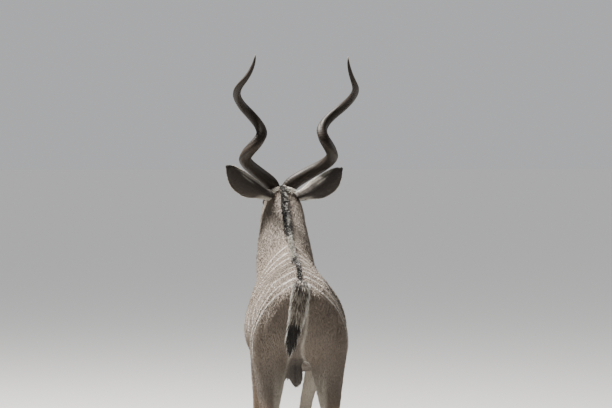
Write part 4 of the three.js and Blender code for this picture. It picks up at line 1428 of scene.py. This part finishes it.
# A pale ridge of hair over the poll, from ear to ear behind the horns
def makePoll():
    count, full, wide = hairPlan["poll"]
    x = rng.uniform(-0.066, 0.066, count)
    spots = rowsOf(x, rng.normal(-0.030, 0.010, count), 0.2)
    kept, roots, normals = onSkin(fromHead(spots), headTurn @ np.array([0, 0, -1]))
    x, n = x[kept], len(kept)
    start = rowsOf(x * 12, rng.normal(-0.45, 0.12, n), 0.50) @ headTurn.T
    end = rowsOf(x * 16, rng.normal(-0.80, 0.12, n), -0.10) @ headTurn.T
    length = full * rng.uniform(0.7, 1.1, n)
    shade = pick(np.full(n, 0.15), "body", "white")
    addLocks("poll", roots, start, end, normals, length, wide, shade, shade)


def makeTailHair():
    count, full, wide = hairPlan["tail_hair"]
    t = 0.13 + 0.87 * rng.random(count) ** 0.85
    angle = rng.uniform(0, 2 * math.pi, count)
    row = tailAt(t)
    along = heading(lambda s: tailAt(s)[:, :3], t, 0.03)
    side = unit(np.array([1.0, 0, 0]) - along * along[:, :1])
    rear = np.cross(along, side)
    rear *= np.sign(-rear[:, 1])[:, None]
    sideways, rearways = np.cos(angle), np.sin(angle)
    out = side * sideways[:, None] + rear * rearways[:, None]
    roots = row[:, :3] + side * (sideways * (row[:, 3] - 0.007))[:, None]
    roots = roots + rear * (rearways * (row[:, 4] - 0.005))[:, None]
    edge = np.abs(sideways) ** 2
    tuft, atEnd = smoothStep(t, 0.66, 0.88), smoothStep(t, 0.84, 1.0)
    start = along + out * (0.42 + 0.62 * edge * (1 - tuft) - 0.12 * atEnd)[:, None]
    start = start + rng.normal(0, 0.09, (count, 3))
    end = along * 0.8 + np.array([0, 0, -0.6]) - out * (0.02 + 0.1 * tuft + 0.42 * atEnd)[:, None]
    length = (0.042 + 0.026 * edge + (full - 0.056) * tuft) * rng.uniform(0.6, 1.1, count)
    shade = pick(np.full(count, 0.60), "back", "pale")
    shade[(edge > 0.82) | (rearways < -0.3)] = coatShades["white"]
    atRoot = (rng.random(count) < 0.65 * fade(t, 0.20, 0.38)) & (edge < 0.9)
    shade[atRoot] = np.array(coatShades["dark"]) * 2
    black = rng.random(count) < smoothStep(t, 0.66, 0.76) * np.where(edge > 0.88, 0.6, 1.0)
    shade[black] = coatShades["dark"]
    addLocks("tail_hair", fromBody(roots), start, end, out, length, wide, shade, shade, "tail_coat")


def makeLashes():
    count = 46
    flat = lidCurve(np.linspace(0.25, math.pi - 0.25, count)) * 1.02
    start = eyeOut - eyeUp * 0.25 + flat[:, :1] * eyeAlong * 14
    end = eyeOut * 0.8 + eyeUp * 0.5 + flat[:, :1] * eyeAlong * 20
    shade = np.tile(coatShades["lid"], (count, 1))
    for side, sign in sides:
        roots = byLids(flat, ballHeight(*flat.T) + 0.0024, sign)
        length = 0.010 * rng.uniform(0.8, 1.1, count)
        ways = [mirrored(way, sign) @ faceTurn.T for way in (start, end, np.tile(eyeUp, (count, 1)))]
        addLocks(f"lashes_{side}", roots, *ways, length, 0.0009, shade, shade)


# Hooves: pairs of claws and dewclaws, each in the space of its solid
hoofPlan = {
    "dome": 0.80,  # past this share of its length the tube closes, inside the foot
    "nose": 0.46,  # how much the toe narrows
    "heel": 0.34,  # how much lower the heel is
    "dewSize": 0.88,
    "dewSunk": 0.0020,
    "wall": (0.030, 0.025, 0.021),
    "foot": (0.060, 0.050, 0.040),  # lighter by this at the ground
    "dew": (0.028, 0.023, 0.020),
}
coronetPlan = {"count": 320, "wide": 0.0030}


def boxOf(*names):
    corners = np.array([np.array(corner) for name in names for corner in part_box(name)])
    low, high = corners.min(0), corners.max(0)
    return low, high, (low + high) / 2, (high - low) / 2


def makeClaw(name):
    low, high, middle, half = boxOf(name)
    legSide = np.sign(toBody(middle)[0]) * (1 if "inner" in name else -1)

    def spots(t, angle):
        cap = np.clip((t - hoofPlan["dome"]) / (1 - hoofPlan["dome"]), 0, 1)
        t = np.minimum(t / hoofPlan["dome"], 1)
        down = 1 - t
        sine, cosine = np.sin(angle), np.cos(angle)
        nose = 1 - hoofPlan["nose"] * np.maximum(sine, 0) ** 2.6
        close = np.sqrt(1 - cap ** 2 * 0.995)
        x = middle[0] + cosine * half[0] * (0.86 + 0.14 * down) * nose * close
        x += legSide * 0.003 * np.maximum(sine, 0) ** 2 * down
        reach = half[1] * np.where(sine > 0, 0.44 + 0.62 * down, 0.80 + 0.14 * down)
        y = middle[1] - half[1] * 0.14 * t + sine * reach * close
        rise = t * (1 - hoofPlan["heel"] * np.maximum(-sine, 0) * t)
        z = low[2] + (high[2] - low[2]) * rise + 0.004 * cap
        rings = 0.0003 * np.sin(down * 42 + 2 * sine) * (down > 0.05)
        return rowsOf(x + rings * cosine, np.clip(y, low[1], high[1]) + rings * sine, z)

    mesh = tubeMesh(name, 40, 30, spots)
    points = pointsOf(mesh)
    height = (points[:, 2] - low[2]) / (high[2] - low[2])
    shade = np.array(hoofPlan["wall"]) + np.array(hoofPlan["foot"]) * fade(height, 0, 0.16)[:, None]
    shade *= 1 + 0.25 * softNoise(points * (1, 1, 5), 0.02, 51)[:, None]
    paintPoints(mesh, shade)
    addPiece(name, mesh, surfaces["hoofGloss"], [name])


def makeDewclaw(name):
    _, _, middle, half = boxOf(name)
    half = half * hoofPlan["dewSize"]
    near = np.array(skinTree.find_nearest(Vector(middle))[0])
    away = np.linalg.norm(near - middle)
    middle = middle + (near - middle) / away * max(away - hoofPlan["dewSunk"], 0)

    def spots(t, angle):
        belly = np.sqrt(np.maximum(1 - (1.75 * t - 0.75) ** 2, 0.012))
        x = middle[0] + np.cos(angle) * half[0] * belly
        y = middle[1] + np.sin(angle) * half[1] * belly - half[1] * 0.5 * (t - 0.5)
        return rowsOf(x, y, middle[2] + half[2] * (0.8 - 1.9 * t))

    mesh = tubeMesh(name, 20, 14, spots)
    paintPoints(mesh, np.tile(hoofPlan["dew"], (len(mesh.vertices), 1)))
    addPiece(name, mesh, surfaces["hoofGloss"], [name])


def makeHooves():
    for foot in feet:
        for place in ("inner", "outer"):
            makeClaw(f"claw_{foot}_{place}")
            makeDewclaw(f"dewclaw_{foot}_{place}")


# Hair that hangs from the edge of the foot over the top of the claws
def makeCoronets():
    count = coronetPlan["count"]
    for foot in feet:
        _, high, middle, half = boxOf(f"claw_{foot}_inner", f"claw_{foot}_outer")
        turn = rng.uniform(0, 2 * math.pi, count)
        ring = rowsOf(np.cos(turn), np.sin(turn), 0)
        spots = middle + ring * half * 0.9
        spots[:, 2] = high[2] + rng.uniform(0.002, 0.018, count) - 0.012 * np.maximum(-np.sin(turn), 0)
        found = [skinTree.find_nearest(Vector(spot)) for spot in spots]
        roots, normals = np.array([f[0] for f in found]), np.array([f[1] for f in found])
        start = ring * 0.85 + np.array([0, 0, -0.7]) + rng.normal(0, 0.1, (count, 3))
        end = ring * 0.10 + np.array([0, 0, -1.0])
        length = rng.uniform(0.018, 0.029, count)
        shade = markings(roots)
        wide = coronetPlan["wide"]
        addLocks(f"coronet_{foot}", roots, start, end, normals, length, wide, shade, shade, "leg_coat")


makeEyes()
makeLids()
makeLashes()
print("eyes")
makeHorns()
print("horns")
makeEars()
print("ears")
for make in (makeMane, makeCrest, makePoll, makeFringe, makeBeard, makeTailHair):
    make()
print("long hair")
makeHooves()
makeCoronets()
print("hooves")

# Stage, lights and camera, at the photograph's viewing angle
shot = {
    "width": 612,
    "height": 408,
    "focus": 3469.0,  # focal length in pixels
    "distance": 17.0,  # behind the head of the tail
    "eyeHeight": 2.30,
    "turn": 2.3,  # the body points this much left of the view
    "tailHead": (0.0, -0.640, 1.250),
    "tailHeadPixel": (300.5, 281.0),
    "sensor": 36,
}
stagePlan = {
    "floor": (0.52, 0.515, 0.505, 1),
    "floorGlow": 0.40,  # evens out the far floor, and only the camera sees it
    "sky": (0.80, 0.81, 0.83, 1),
    "skyLight": 0.23,
    "skySeen": 0.61,
}
lamps = {  # place, aim, size, power, colour
    "keyFrontLeft": ((-3.2, 2.2, 7.8), (0, 0, 1.2), 2.0, 2800, (1, 0.97, 0.93)),
    "fillBehind": ((3.5, -8.0, 3.6), (0, 0, 1.0), 5.0, 22, (0.95, 0.97, 1)),
    "fillRight": ((6.5, 2.5, 3.0), (0, 0, 1.0), 4.0, 130, (1, 1, 1)),
}


def placeCamera():
    target = fromBody(np.array(shot["tailHead"]))
    turn = math.radians(shot["turn"])
    spot = target - shot["distance"] * np.array([math.sin(turn), math.cos(turn), 0])
    spot[2] = shot["eyeHeight"]
    column, row = shot["tailHeadPixel"]
    yaw = turn + math.atan((shot["width"] / 2 - column) / shot["focus"])
    drop = math.atan((shot["eyeHeight"] - target[2]) / shot["distance"])
    pitch = drop - math.atan((row - shot["height"] / 2) / shot["focus"])
    camera = newObject("camera", bpy.data.cameras.new("camera"))
    camera.data.sensor_width = shot["sensor"]
    camera.data.lens = shot["sensor"] * shot["focus"] / shot["width"]
    camera.data.clip_end = 200
    camera.location = spot
    camera.rotation_euler = (math.pi / 2 - pitch, 0, -yaw)
    bpy.context.scene.camera = camera


def makeLights():
    for name, (spot, aim, size, power, colour) in lamps.items():
        light = newObject(name, bpy.data.lights.new(name, "AREA"))
        light.data.shape = "DISK"
        light.data.size = size
        light.data.energy = power
        light.data.color = colour
        light.location = spot
        light.rotation_euler = (Vector(aim) - Vector(spot)).to_track_quat("-Z", "Y").to_euler()


def makeFloor():
    bm = bmesh.new()
    bmesh.ops.create_grid(bm, x_segments=1, y_segments=1, size=60)
    floor = newObject("floor", meshFromBmesh("floor", bm))
    paint = bpy.data.materials.new("paleFloor")
    paint.use_nodes = True
    shader = paint.node_tree.nodes["Principled BSDF"]
    shader.inputs["Base Color"].default_value = stagePlan["floor"]
    shader.inputs["Roughness"].default_value = 0.9
    shader.inputs["Emission Strength"].default_value = stagePlan["floorGlow"]
    ray = addNode(paint.node_tree, "ShaderNodeLightPath")
    paint.node_tree.links.new(ray.outputs["Is Camera Ray"], shader.inputs["Emission Color"])
    floor.data.materials.append(paint)


def makeSky():
    world = bpy.data.worlds.new("studio")
    bpy.context.scene.world = world
    world.use_nodes = True
    tree = world.node_tree
    light = tree.nodes["Background"]
    seen = addNode(tree, "ShaderNodeBackground")
    for node, strength in ((light, "skyLight"), (seen, "skySeen")):
        node.inputs["Color"].default_value = stagePlan["sky"]
        node.inputs["Strength"].default_value = stagePlan[strength]
    ray = addNode(tree, "ShaderNodeLightPath").outputs["Is Camera Ray"]
    mix = addNode(tree, "ShaderNodeMixShader", [("Fac", ray), (1, light.outputs[0]), (2, seen.outputs[0])])
    tree.links.new(mix.outputs[0], tree.nodes["World Output"].inputs["Surface"])


makeFloor()
makeSky()
makeLights()
placeCamera()
print("stage")

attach(skin, "root")
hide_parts(*skinPlan["locked"], *skinPlan["legs"], "tail")
